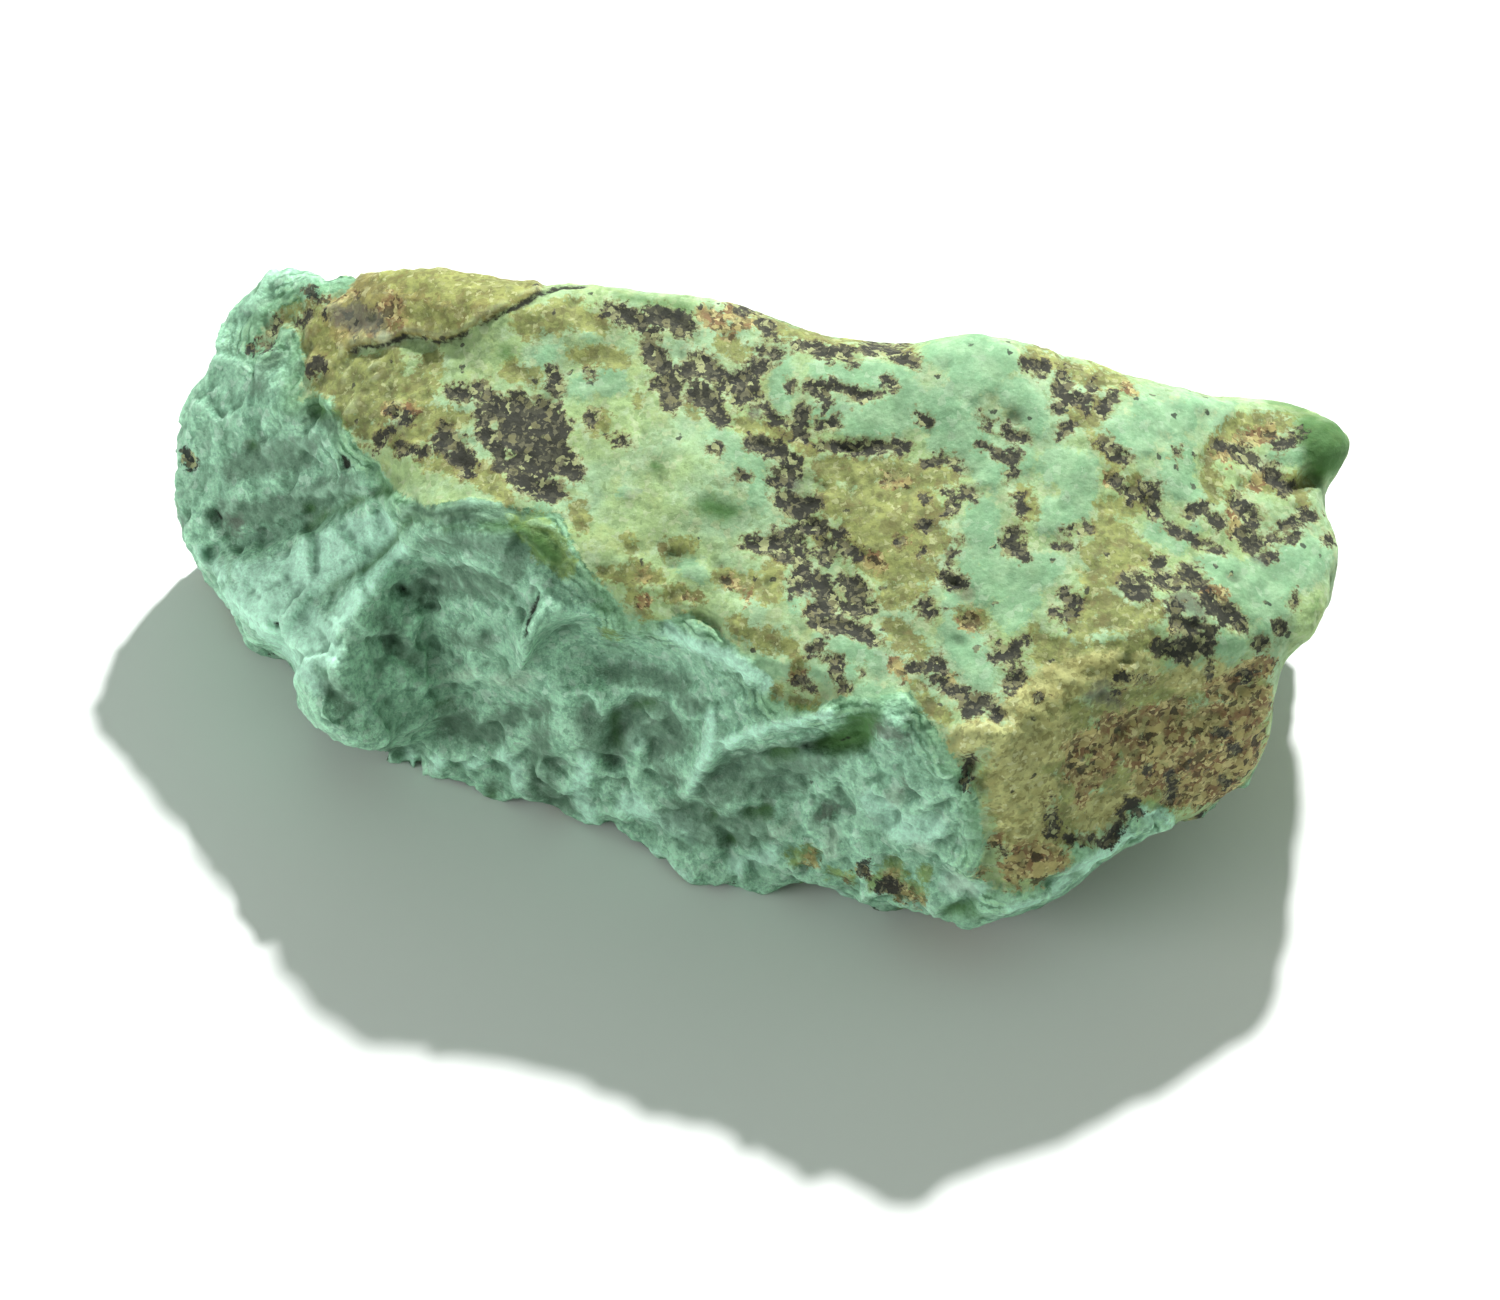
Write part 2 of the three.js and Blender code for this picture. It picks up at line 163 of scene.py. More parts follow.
    [(19.9, 6.1, 0.3), (20.9, 6.1, 0.5), (21.9, 6.2, 0.35), (22.3, 6.9, 0.25)], [(21.3, 5.7, 0.25)],
    [(24.9, 6.3, 0.28)], [(25.8, 7.1, 0.22)], [(26.5, 8.5, 0.18)], [(22.2, 5, 0.18)], [(19, 4.5, 0.22)],
    [(17.9, 4.6, 0.15)], [(17.6, 3.8, 0.2)], [(13.7, 3.6, 0.15)], [(10.25, 0.35, 0.22), (10, -0.5, 0.1)],
    [(18.5, -1.8, 0.28)], [(19.2, 0, 0.2)], [(20.4, -0.3, 0.25), (20.4, -1.2, 0.25)], [(22.9, 1.7, 0.28)],
    [(23.8, 0.9, 0.28)], [(23, -0.8, 0.22)], [(24.2, 4.6, 0.25)], [(14.4, -1.5, 0.1), (14.4, -3.2, 0.22)],
    [(15.2, -3.4, 0.1), (16.1, -3.5, 0.08), (17, -3.7, 0.18), (17.6, -3.2, 0.12), (17.8, -2.3, 0.1)],
    [(11.8, -4.1, 0.15)], [(-2, -6.2, 0.22)], [(5, -4.8, 0.28)], [(6, -5.6, 0.22), (6.7, -5.8, 0.15)],
    [(-28.9, 15.7, 0.25), (-28.7, 15.2, 0.2)], [(-22.7, 23.9, 0.18), (-22.5, 23.6, 0.12)],
    [(-24.9, 21.8, 0.08), (-24.5, 22.4, 0.1)], [(-25.1, 21.4, 0.14), (-24.8, 21.1, 0.14)],
    [(-25.7, 21, 0.12)], [(-23.2, 22.4, 0.14), (-22.9, 22.9, 0.08)], [(-21.9, 22.6, 0.15)],
    [(-22.8, 20, 0.15), (-22.2, 20.3, 0.22)],
]

# The dark split under the crust layer, and small pits and cracks of the break: near black, partly their own
# dark and partly painted shadow under the crust's edge and inside the cracks.
SPLIT_AND_SHADOW = [
    [(-20.8, 20.9, 0.03), (-20.2, 21.15, 0.07), (-18.9, 21.3, 0.07), (-18, 21.7, 0.1), (-17.2, 21.6, 0.04),
     (-16.2, 21.4, 0.06), (-15.2, 21.7, 0.1), (-14.4, 22.2, 0.04), (-13.4, 22.7, 0.05), (-12.1, 23.4, 0.09),
     (-11.4, 23.8, 0.1), (-10.2, 24.2, 0.1), (-9, 24.3, 0.08)],
    [(-11.35, 8.8, 0.03), (-11.6, 8, 0.07), (-11.8, 7.2, 0.07), (-12.1, 6.6, 0.03)],
    [(-21, 15.7, 0.06), (-20.9, 15.2, 0.14)], [(-27.6, 13.1, 0.06), (-27.3, 12.6, 0.1)], [(-17.95, 9, 0.1)],
    [(-24.4, 7.3, 0.1)], [(2.3, -0.6, 0.1)], [(3.6, 1.4, 0.02), (4.2, 1.6, 0.08)],
]

OLIVE = [
    [(-18.8, 24.6, 0.6), (-17, 24.4, 0.8), (-15, 23.9, 0.9), (-13.4, 23.8, 0.7), (-11.8, 24, 0.3)],
    [(-17.4, 22.8, 0.6), (-16, 22.4, 0.6), (-15, 22.6, 0.6)],
    [(-24.6, 22.2, 0.22), (-23.9, 22.8, 0.3), (-22.6, 23.3, 0.35)],
    [(-22.4, 22.4, 0.7), (-22.3, 21, 0.7), (-21.4, 20.4, 0.7)],
    [(-22, 19.4, 0.7), (-20.5, 19.6, 1.2), (-18.8, 20.2, 0.9)],
    [(-20.4, 18.2, 1.2), (-19, 18.6, 1.2), (-17.4, 18.9, 1), (-16.6, 20.4, 0.6)],
    [(-20, 17, 0.6), (-18.4, 16.6, 0.8), (-16.8, 17.4, 0.8), (-15.3, 17.6, 0.6)],
    [(-17, 15.5, 0.5), (-15.6, 15.2, 0.5), (-14, 14.6, 0.7), (-13, 13.8, 0.5)],
    [(-11.8, 22.4, 0.9), (-9.8, 22.8, 0.8), (-8.2, 22.4, 0.5)], [(-9.4, 20.8, 0.5), (-7.4, 20.6, 0.6)],
    [(-12.8, 20, 0.5), (-11.6, 19.6, 0.5)], [(-9.6, 13.2, 0.5), (-9.1, 12.3, 0.45)],
    [(-12.4, 12.5, 0.5), (-11.4, 11.9, 0.9), (-10.7, 11, 0.9), (-10, 10.2, 0.6)], [(-6.8, 11.4, 0.5)],
    [(-4.7, 11.3, 0.55), (-3.8, 11.3, 0.35)], [(-8, 9.8, 0.4), (-6.6, 9.8, 0.8), (-5.4, 9.6, 0.4)],
    [(-6.6, 8.6, 0.6), (-6, 7.6, 0.3)], [(-4.6, 8.8, 0.5), (-3.6, 8.7, 0.5)],
    [(-2.2, 9.8, 0.5), (-0.8, 9.2, 0.7), (0.2, 8.8, 0.6), (0.6, 10.4, 0.5)],
    [(-1.4, 7.2, 0.5), (-0.4, 6.5, 0.6), (0.6, 6.4, 0.6), (1.3, 6, 0.5)], [(1.6, 5.4, 0.4), (1.6, 4.6, 0.3)],
    [(0.6, 3.9, 0.3)], [(1.6, 3.4, 0.4), (2.4, 3.3, 0.3)], [(-3.6, 18.1, 0.45)], [(-8.2, 17.3, 0.6)],
    [(-6.4, 18.6, 0.35)], [(-1.2, 17.3, 0.45), (0.2, 17.1, 0.35), (1.4, 16.6, 0.45), (2.4, 16, 0.5)],
    [(-2, 21.4, 0.6), (-1.2, 21, 0.5)],
    [(-0.4, 22.6, 0.5), (1, 22.2, 0.5), (3.4, 21.6, 0.4), (4.8, 21.7, 0.3), (7.2, 21, 0.4)],
    [(2.8, 15.2, 0.6), (5, 14.8, 0.9), (7.5, 14.8, 0.8), (9.2, 14.8, 0.6)],
    [(3.4, 13.6, 0.9), (5.5, 13.2, 1.3), (7.6, 13.2, 1.1), (8.8, 13, 0.5)],
    [(4.4, 12, 0.9), (6.4, 11.6, 1.4), (8.3, 11.6, 0.9)], [(2.6, 12.2, 0.5), (2.8, 11.4, 0.4)],
    [(5.4, 10.4, 0.9), (7.2, 10.2, 1), (8.2, 10, 0.7)], [(6.2, 8.8, 0.8), (7.2, 8.9, 0.6)],
    [(6.2, 7.4, 0.4), (7, 6.6, 0.8), (7.8, 5.9, 0.6)], [(7.6, 4.3, 0.3), (8.3, 3.1, 0.5), (9, 2.6, 0.5)],
    [(10, 7.6, 0.5), (10.8, 7.4, 0.4)], [(13, 14, 0.45), (13.3, 12.9, 0.45)],
    [(13.4, 20.8, 0.5), (14.8, 20.5, 0.5), (16.4, 19.5, 0.6), (17.8, 19.6, 0.45)],
    [(15.6, 18, 0.7), (16.3, 17.2, 0.45), (16.8, 18.4, 0.4)],
    [(16.6, 16.6, 0.35), (17.6, 15.3, 0.35), (17.2, 14.6, 0.4)],
    [(18.6, 14.4, 0.5), (18.8, 13.4, 0.6), (17.2, 13.2, 0.6)],
    [(17.2, 12, 0.9), (18.2, 11.2, 0.8), (16.6, 10.8, 0.8)],
    [(16.6, 9.6, 0.9), (17.6, 10.4, 0.8), (19, 10.8, 0.5)],
    [(15.7, 7.4, 0.8), (16.8, 8.2, 0.9), (18.2, 7.6, 0.9), (19.4, 7.8, 0.6)],
    [(13.6, 6.8, 0.5), (14.2, 5.8, 0.8), (16, 5.4, 1), (17.6, 5.6, 1), (19.2, 6.6, 0.6)],
    [(12.9, 4, 0.5), (14.4, 4, 1), (15.4, 2.6, 1), (13.4, 2.4, 1)], [(12.6, 0.8, 0.9), (14.2, 0.9, 0.7)],
    [(11.4, -0.6, 0.7), (13.2, -0.8, 1), (14.4, -0.6, 0.5)], [(11.7, -2, 0.7), (13.2, -2.2, 1)],
    [(12, -3.2, 0.6), (13.2, -3.4, 0.6)],
    [(17.2, 3, 0.9), (19, 3.6, 0.9), (20.8, 4.2, 0.9), (22.6, 4.2, 0.7), (24.6, 4, 0.8)],
    [(12.6, 0.2, 1.2), (15, 0.2, 1.5), (17.6, 0.6, 1.8), (20.6, 1, 2), (23.6, 1.6, 1.8)],
    [(19, -1, 0.9), (21, -1.2, 1), (23.2, -0.6, 0.9)], [(13.2, -3.4, 1.2), (14.8, -3, 1), (15.2, -1.6, 0.9)],
    [(22.2, 15.6, 0.5), (22.8, 16.6, 0.5), (23.8, 17.4, 0.5), (25, 17.4, 0.55), (26.3, 17.3, 0.3)],
    [(22.3, 14.8, 0.4), (22.6, 13.8, 0.45)],
    [(24.2, 14.4, 0.4), (25.4, 14.3, 0.5), (26.6, 14.4, 0.5), (27, 13.5, 0.4)],
    [(23.3, 13.8, 0.3), (23.4, 12.6, 0.28), (23.6, 11.9, 0.25)],
    [(16.6, -1.5, 0.5), (16.3, -2.6, 0.7), (17.8, -1.2, 0.5), (18.6, -1.1, 0.35)],
    [(2.3, -4.2, 0.5), (1.5, -4.3, 0.4)], [(3.4, -5.1, 0.3), (4.3, -5.4, 0.3)],
    [(5.6, -5.4, 0.4), (6.3, -4.9, 0.45), (6.8, -6, 0.5), (7.6, -6.2, 0.4)], [(7.9, -5.3, 0.35)],
    [(-7.9, 7, 0.3), (-7.4, 6.8, 0.2)],
]

# Light sandy crust and a beige flake, partly painted light: the lower right face, which the key lamp misses,
# is coloured lighter as if lit.
SAND_AND_PAINTED_LIGHT = [
    [(9.9, 1.6, 0.9), (11, 1.9, 0.8), (11.9, 1.7, 0.7)],
    [(12.6, 3, 1), (14.4, 4.2, 1.2), (16.8, 5, 1), (19, 5, 0.8)], [(12.4, 0.8, 1.4), (14.4, 1.6, 1.3)],
    [(12.2, -1.2, 1.2), (13.6, -1.2, 1.2)], [(12.6, -3, 1), (13.6, -3.4, 0.8)],
    [(16.2, -2.2, 0.9), (17.4, -2, 0.9), (18.8, -1.1, 0.4)], [(21, 4.6, 0.8), (23, 4.8, 0.6)],
]

BROWN = [
    [(-21.6, 23.4, 0.25), (-20.5, 23.7, 0.25)],
    [(-20.6, 22.3, 0.7), (-19.2, 22.3, 0.7), (-18.5, 23.2, 0.4), (-18.3, 22.6, 0.3)],
    [(-18.7, 18, 0.3), (-17.6, 18.1, 0.25)], [(-3, 23, 0.3), (-2.4, 22.5, 0.4), (-1.9, 22, 0.3)],
    [(-1.6, 23, 0.4), (-0.9, 22.6, 0.4)], [(-6.1, 9.7, 0.3)], [(-6.2, 8.4, 0.28)], [(-3.9, 8.6, 0.25)],
    [(-1.7, 9.4, 0.28)], [(-0.8, 8.7, 0.25)], [(1.8, 9.9, 0.3)], [(2.2, 8.2, 0.3)], [(1.6, 4.6, 0.25)],
    [(6.2, 14.6, 0.25), (7, 14.5, 0.2)], [(5.5, 10.4, 0.5)], [(6.8, 11.6, 0.3)], [(10.2, 7.4, 0.4)],
    [(6.5, 5.4, 0.3), (6.9, 4.8, 0.25)], [(9.3, 4.6, 0.3)], [(17.2, 14.6, 0.3)],
    [(22, 9, 0.3), (22.8, 8.6, 0.3)], [(20.4, 7.2, 0.25)], [(23.5, 12.9, 0.3), (23.6, 12, 0.3)],
    [(24, 16.6, 0.4), (25.2, 16.8, 0.4)], [(24.6, 14.4, 0.35), (25.2, 14.8, 0.3)], [(23, 15.8, 0.4)],
    [(18.2, 19, 0.25)], [(15.6, 0.9, 0.5), (16.6, 1.4, 0.5), (17.3, 2.2, 0.5), (17.4, 1, 0.4)],
    [(15.6, -0.2, 0.6), (16.2, -0.6, 0.6), (15.9, -1.6, 0.3)],
    [(17, 0.2, 0.6), (18.2, 2.2, 0.5), (19.4, 2.6, 0.5), (20.8, 3, 0.4)],
    [(18.8, 0.8, 0.9), (20.4, 1.4, 1.2), (20.2, -0.2, 1), (19, -0.6, 0.6)],
    [(22.3, 2, 1), (23.6, 2.2, 1), (24.8, 3.4, 0.7), (23.4, 3.6, 0.6)],
    [(22.2, 0.4, 1.1), (23.8, 0.4, 0.9), (24.8, 1.2, 0.6)],
    [(20.6, -1.4, 0.5), (22, -1.2, 0.8), (23.2, -1, 0.7)],
    [(22.6, 3.8, 0.4), (24.2, 4.8, 0.4), (25.2, 5.2, 0.35)],
    [(12.6, -5.2, 0.6), (13.2, -4.3, 0.6), (14.6, -4.4, 0.6), (13.8, -5.2, 0.6)], [(11.5, -3.6, 0.28)],
    [(10.6, -5.1, 0.28)], [(12.1, -4.8, 0.25)], [(2.3, -4.4, 0.4)],
    [(6.2, -5.3, 0.35), (6.9, -6.2, 0.4), (7.7, -6.5, 0.3)], [(4.1, -5.5, 0.25)], [(5.2, -5, 0.25)],
]

# Blue-green mint, where the rind has worn thin.
MINT = [
    [(1, 20.2, 0.5), (0.7, 19.2, 0.6), (0.9, 18.2, 0.6)],
    [(2.6, 20, 0.6), (4.6, 19.8, 0.8), (6.8, 19.6, 0.8)],
    [(2.6, 17.9, 0.7), (4, 17.6, 1), (5.8, 17.6, 1.1), (7.4, 18.2, 1.2), (9.2, 17.8, 1.1)],
    [(8.2, 20.8, 0.6), (10.4, 21.2, 0.9), (11.8, 20.4, 1), (10.2, 19.6, 1.2)],
    [(12.6, 18.8, 0.9), (13.6, 18, 0.7), (13.6, 17.2, 0.6)],
    [(8.8, 16.4, 0.7), (10.4, 16.6, 0.9), (11.2, 15, 0.9), (12.8, 15.6, 0.8)],
    [(14.4, 15.2, 1), (15.8, 15, 1), (15.6, 13.4, 0.9), (14.4, 12.6, 0.9)],
    [(10.8, 13, 0.9), (10.8, 12, 0.9), (11.2, 10.6, 0.8)],
    [(9.9, 10.8, 0.4), (10.8, 9.2, 0.9), (12.6, 9.6, 1.2), (14.2, 10.2, 0.9)],
    [(9.4, 8.6, 0.5), (9.2, 7, 0.5), (10.2, 6, 1), (10.6, 4.9, 0.8), (11, 4.4, 0.5)],
    [(12, 8, 0.7), (13.2, 8.6, 0.6), (12.4, 7.2, 0.5)],
    [(17.6, 17.2, 0.7), (18.8, 16.4, 0.8), (19, 17.8, 0.9), (20.6, 17.6, 1)],
    [(20.8, 16, 0.8), (20.6, 14.6, 1), (21.6, 13.8, 0.5)],
    [(22.4, 17.2, 0.4), (23.2, 18.2, 0.4), (21, 18.4, 0.4)],
    [(19.4, 12, 0.6), (20.8, 11.4, 0.5), (21.6, 12.2, 0.4)],
    [(22.4, 10.2, 0.8), (23.8, 9.4, 1.2), (25.6, 9.4, 1.3), (27.2, 10.6, 1.2)],
    [(24.4, 8, 0.6), (25.6, 7.9, 0.6), (25, 7, 0.5)],
    [(22.6, 7.4, 0.25), (22.7, 6.3, 0.6), (23.5, 6.3, 0.7), (23.2, 5.4, 0.5), (23, 4.8, 0.3)],
    [(25.4, 15.8, 0.3), (26.6, 15.8, 0.5)], [(20.4, 5.3, 0.35)],
    [(2.8, 6.6, 0.6), (4.6, 6, 0.7), (5.6, 5.4, 0.6)], [(4.4, 5, 0.6), (3.1, 4.8, 0.4), (2.3, 4.9, 0.25)],
    [(5, 3.9, 0.5), (6.4, 3.4, 0.7), (7.4, 2.4, 0.6), (8.2, 1.6, 0.5)], [(1.6, 8, 0.35), (1.4, 9.2, 0.2)],
    [(-10.9, 20.7, 0.55)], [(-8.8, 21.7, 0.45)], [(-9.4, 19.2, 0.6), (-7.6, 19.6, 0.8)],
    [(-6.9, 13.9, 0.35)], [(-4, 10.2, 0.5), (-3.2, 9.8, 0.5)],
    [(-2.2, 16.6, 0.8), (-0.6, 15.2, 0.7), (-0.4, 13.4, 0.5)], [(-11, 13.3, 0.5)],
    [(1, 5, 0.5), (-1.2, 5.3, 0.6), (-2.4, 6, 0.4)],
]

# Lighter parts of the break: partly the stone's own paler tone, partly painted light on the ledge, the ridges
# and the rims, where the key lamp would fall.
PALE_AND_PAINTED_LIGHT = [
    [(-23, 5.4, 0.4), (-21.4, 7.6, 0.5), (-19.8, 9.4, 0.5), (-18.2, 11, 0.4)],
    [(-26, 9.7, 0.7), (-24.4, 9.5, 1.2), (-22.4, 10, 1.5), (-20.6, 11.3, 1.2), (-19.2, 12.1, 0.8)],
    [(-25, 8.4, 0.9), (-23.2, 7.4, 1.2), (-21.8, 5.8, 0.7)], [(-21.2, 10.4, 0.7), (-20, 11.4, 0.5)],
    [(-28.2, 10.8, 0.3), (-27.2, 9.8, 0.5)],
    [(-26.6, 8.8, 0.6), (-25, 7.2, 0.6), (-23.6, 5.6, 0.6), (-22.4, 4.2, 0.4)],
    [(-5, 7, 0.2), (-4, 6.5, 0.35), (-2.5, 5.9, 0.45), (-1.2, 5.2, 0.45), (0.4, 4.2, 0.35)],
    [(-19.2, 0.5, 0.45)], [(-17.8, 0.4, 0.35)], [(-16.2, 0.5, 0.45)],
    [(-14.8, 0.3, 0.35), (-14.2, 0.5, 0.25)], [(-13, 0.9, 0.3), (-12.2, -0.6, 0.35)], [(-6.4, 1.4, 0.45)],
    [(-8.9, 0.4, 0.4), (-9.4, -1, 0.45), (-8.6, -2.2, 0.4)],
    [(-2.7, 2.8, 0.2), (-2.6, 1.5, 0.25), (-3.2, 0.4, 0.3), (-3.5, -0.8, 0.3)],
    [(-3.2, 0.2, 0.2), (-1.8, 1.5, 0.25), (-0.2, 2.1, 0.28), (1.6, 2.5, 0.3), (3.2, 2.9, 0.25)],
    [(5.4, -1.6, 0.6), (6.8, -2.8, 0.7), (8.6, -2.8, 0.6)],
    [(-5.6, -4.4, 0.4), (-4.6, -5.2, 0.4), (-3.6, -5.8, 0.3)], [(-1.4, -4.9, 0.45), (0.2, -4.2, 0.4)],
    [(-6.8, -1.6, 0.5), (-5.4, -2.4, 0.5), (-3.8, -3, 0.5)], [(19.2, -2, 0.4), (20, -2.2, 0.3)],
    [(18, -3.2, 0.35), (16.8, -4.4, 0.45), (15.4, -5.4, 0.4), (14.4, -6.4, 0.4), (12.6, -6.9, 0.4)],
    [(9.2, -5.6, 0.5), (10.4, -6, 0.5)],
]
# Darker parts of the break: partly the stone's own darker tone, partly painted shade in the shaded wall, the
# hollows and under the rind's edge.
DIM_AND_PAINTED_SHADE = [
    [(-13.6, 12.4, 0.7), (-12.4, 11.4, 0.9), (-12.6, 10, 0.6)], [(-8.8, 2.6, 0.8), (-8.4, 1.4, 0.8)],
    [(-8.2, 4.9, 0.4), (-6.4, 4.8, 0.6), (-4.4, 4.2, 0.6), (-3.4, 3.4, 0.5)],
    [(-7.4, 1.8, 1.2), (-6, 2.8, 1.1), (-4.8, 1.6, 1)],
    [(-2.6, -1, 0.9), (-0.6, -0.2, 0.9), (1.8, 0.4, 0.9), (4.2, 1, 0.6)],
    [(-4.6, -2.2, 0.8), (-2.4, -3, 0.9), (-0.2, -2.8, 0.8)],
    [(-11.2, 1.8, 0.6), (-11.4, -0.6, 0.7), (-10, -1.8, 0.6)], [(-15.8, 2.6, 0.8), (-13.6, 1.8, 0.7)],
    [(-25.2, 19.2, 0.5), (-24.4, 20.6, 0.4)],
    [(-17.8, 12.9, 0.4), (-15.6, 13, 0.7), (-13.4, 12.8, 0.7), (-11.6, 12.4, 0.5)],
    [(-26.6, 15, 0.6), (-25.2, 15.6, 0.9), (-23.4, 15.8, 0.9), (-22.4, 16.4, 0.5)],
    [(-27.2, 12.8, 0.6), (-25, 12.8, 0.7), (-22.8, 13.6, 0.7), (-20.8, 14.2, 0.6)],
    [(-22.6, 17.8, 0.5), (-21.4, 17, 0.3)], [(-16.8, 11.4, 0.4), (-14.8, 11.5, 0.6), (-13, 11.2, 0.6)],
    [(-17.4, 8.8, 0.7), (-16.2, 9.6, 0.9), (-14.4, 9.3, 0.8), (-13, 9, 0.5)],
    [(-19.2, 7.6, 0.3), (-18.2, 6.2, 0.5), (-17.4, 5.6, 0.4)], [(-15.4, 6.6, 0.5), (-13.8, 6.4, 0.4)],
    [(-7.7, 0.6, 0.4), (-7.5, 2, 0.5), (-6.8, 2.9, 0.6), (-5.6, 3.4, 0.5), (-4.6, 2.6, 0.4)],
    [(-5.4, 0.6, 0.4), (-4.6, -0.6, 0.4)],
    [(-2.2, 0.2, 0.3), (-0.8, 0.8, 0.35), (0.8, 1, 0.4), (2.4, 1.2, 0.4)],
    [(-1.6, -1.2, 0.4), (0.2, -0.8, 0.5), (1.8, -0.8, 0.4)],
    [(-13.6, 2.4, 0.5), (-12.2, 2.8, 0.5), (-10.9, 3, 0.4)], [(-19.6, 1.3, 0.25), (-18.5, 0.9, 0.2)],
    [(-17.2, -0.9, 0.25), (-15.4, -0.9, 0.3)], [(-13.6, -0.8, 0.35)],
    [(-10.6, 0.4, 0.3), (-10.6, -1.4, 0.4)], [(-2.8, -2.6, 0.4), (-1.4, -3.2, 0.4)],
    [(-21.8, 4.2, 0.5), (-20.8, 3.2, 0.5)], [(2.6, -2.6, 0.4), (3.6, -1.4, 0.35)],
]

# Deep green spots.
GREEN = [
    [(27.3, 17.2, 1), (28.3, 16.2, 1.8), (27.9, 15.4, 1.1)], [(25.4, 18.5, 0.4), (26.8, 18.2, 0.5)],
    [(-14.2, 12.3, 0.3), (-12.4, 12.1, 0.5), (-11.2, 11.4, 0.7), (-10.5, 10.6, 0.6)],
    [(-7.4, 23.8, 0.3), (-6, 23.5, 0.35), (-4.8, 23.3, 0.4), (-3.9, 23.2, 0.45)], [(-5.5, 15.3, 0.4)],
    [(-2.8, 13.2, 0.8), (-1.6, 12.9, 0.6)], [(-13, 20.9, 0.5)], [(-22.4, 18.1, 0.6)],
    [(-18.7, 13.9, 0.22), (-19.2, 14.8, 0.15)],
    [(-17.6, 12.5, 0.15), (-18.5, 11.6, 0.2), (-19.8, 10.3, 0.2), (-22.1, 8.7, 0.15)],
    [(-23, 12.2, 0.2), (-20.8, 13.3, 0.25), (-18.9, 14, 0.25)], [(-8.4, 8.2, 0.25), (-7.9, 8, 0.15)],
    [(-3.4, 7.7, 0.18), (-2.6, 7.4, 0.14)],
    [(2.6, 1.2, 0.3), (3.6, 1.4, 0.8), (4.6, 1.9, 1.1), (5.2, 2.4, 0.8)],
    [(1.4, 0.9, 0.3), (0.4, 0.8, 0.35)], [(-6.6, 3.1, 0.25), (-5.6, 3.4, 0.25)],
    [(-7.5, 2.6, 0.25), (-7.4, 1.4, 0.25)], [(-15.9, 12.1, 0.15), (-13.8, 12, 0.15)],
    [(-16.3, 3.3, 0.12), (-15.8, 3.5, 0.12)], [(-13.6, -1.1, 0.35)], [(-1.7, -3.5, 0.28)],
    [(-2.6, -2.3, 0.28)], [(-0.8, -2.1, 0.25), (0, -2.1, 0.35)], [(15.6, -5.4, 0.32)],
    [(9.2, -7.1, 0.45), (10.2, -7, 0.5), (10.8, -7.5, 0.3)], [(28, 9.2, 0.12), (27.4, 7.9, 0.14)],
    [(-25.6, 16.3, 0.3)], [(-22.8, 13.1, 0.28)], [(-25.3, 24, 0.25)],
]

# Chalky and slate-grey spots.
CHALK = [
    [(-16.2, 4.7, 0.12), (-14.5, 4.9, 0.16)], [(-13.4, 4.5, 0.22), (-12.4, 4.4, 0.3), (-11.4, 4.8, 0.12)],
    [(-19, 21.6, 0.35)], [(3.3, -4, 0.4), (3.5, -2.8, 0.25)], [(7.8, -3.9, 0.4)],
    [(0.6, -2.9, 0.35), (1.4, -2.6, 0.2)], [(6.4, -1.4, 0.5)], [(9.6, -5.6, 0.6), (10.2, -6, 0.4)],
    [(24, 13.4, 0.3)], [(24.8, 15.3, 0.2)], [(-6.7, 13.8, 0.2)], [(10.1, 8.9, 0.3)],
]
SLATE = [
    [(16.2, 3.6, 0.3), (17, 3.9, 0.45), (17.4, 3.4, 0.3)],
    [(-21.2, 22.6, 0.5), (-20.4, 22.6, 0.8), (-19.6, 22.4, 0.6)], [(-18.3, 17.4, 0.3)], [(24.7, 10.5, 0.35)],
    [(1.4, 14.4, 0.4)], [(-1.4, 19.6, 0.5)], [(5.9, 1.9, 0.5), (6.6, 1.6, 0.5)], [(7, -0.8, 0.25)],
    [(2, 9, 0.3)], [(20.9, 8.6, 0.6), (21.8, 8, 0.4)], [(-26.6, 12.3, 0.4)], [(3.2, -2.2, 0.3)],
    [(-0.4, 17.9, 0.25)],
]

PATCHES = {"black": BLACK, "split": SPLIT_AND_SHADOW, "olive": OLIVE, "brown": BROWN, "mint": MINT, "green": GREEN,
           "chalk": CHALK, "slate": SLATE, "pale": PALE_AND_PAINTED_LIGHT, "dim": DIM_AND_PAINTED_SHADE, "sand_and_light": SAND_AND_PAINTED_LIGHT}

# The left end lies lower than the CAD model has it, by this much beyond the second of the two places.
LEFT_SINK = 1.9
LEFT_FROM, LEFT_TO = -12.5, -19.5

# Round knobs that fill out the top of the left lobe and the nub at the right end: u, v, height and radius.
KNOBS = [(-23.8, 22.9, 4.0, 2.5), (-25.4, 21.8, 3.5, 2.45), (27.4, 16.05, 9.8, 1.85)]

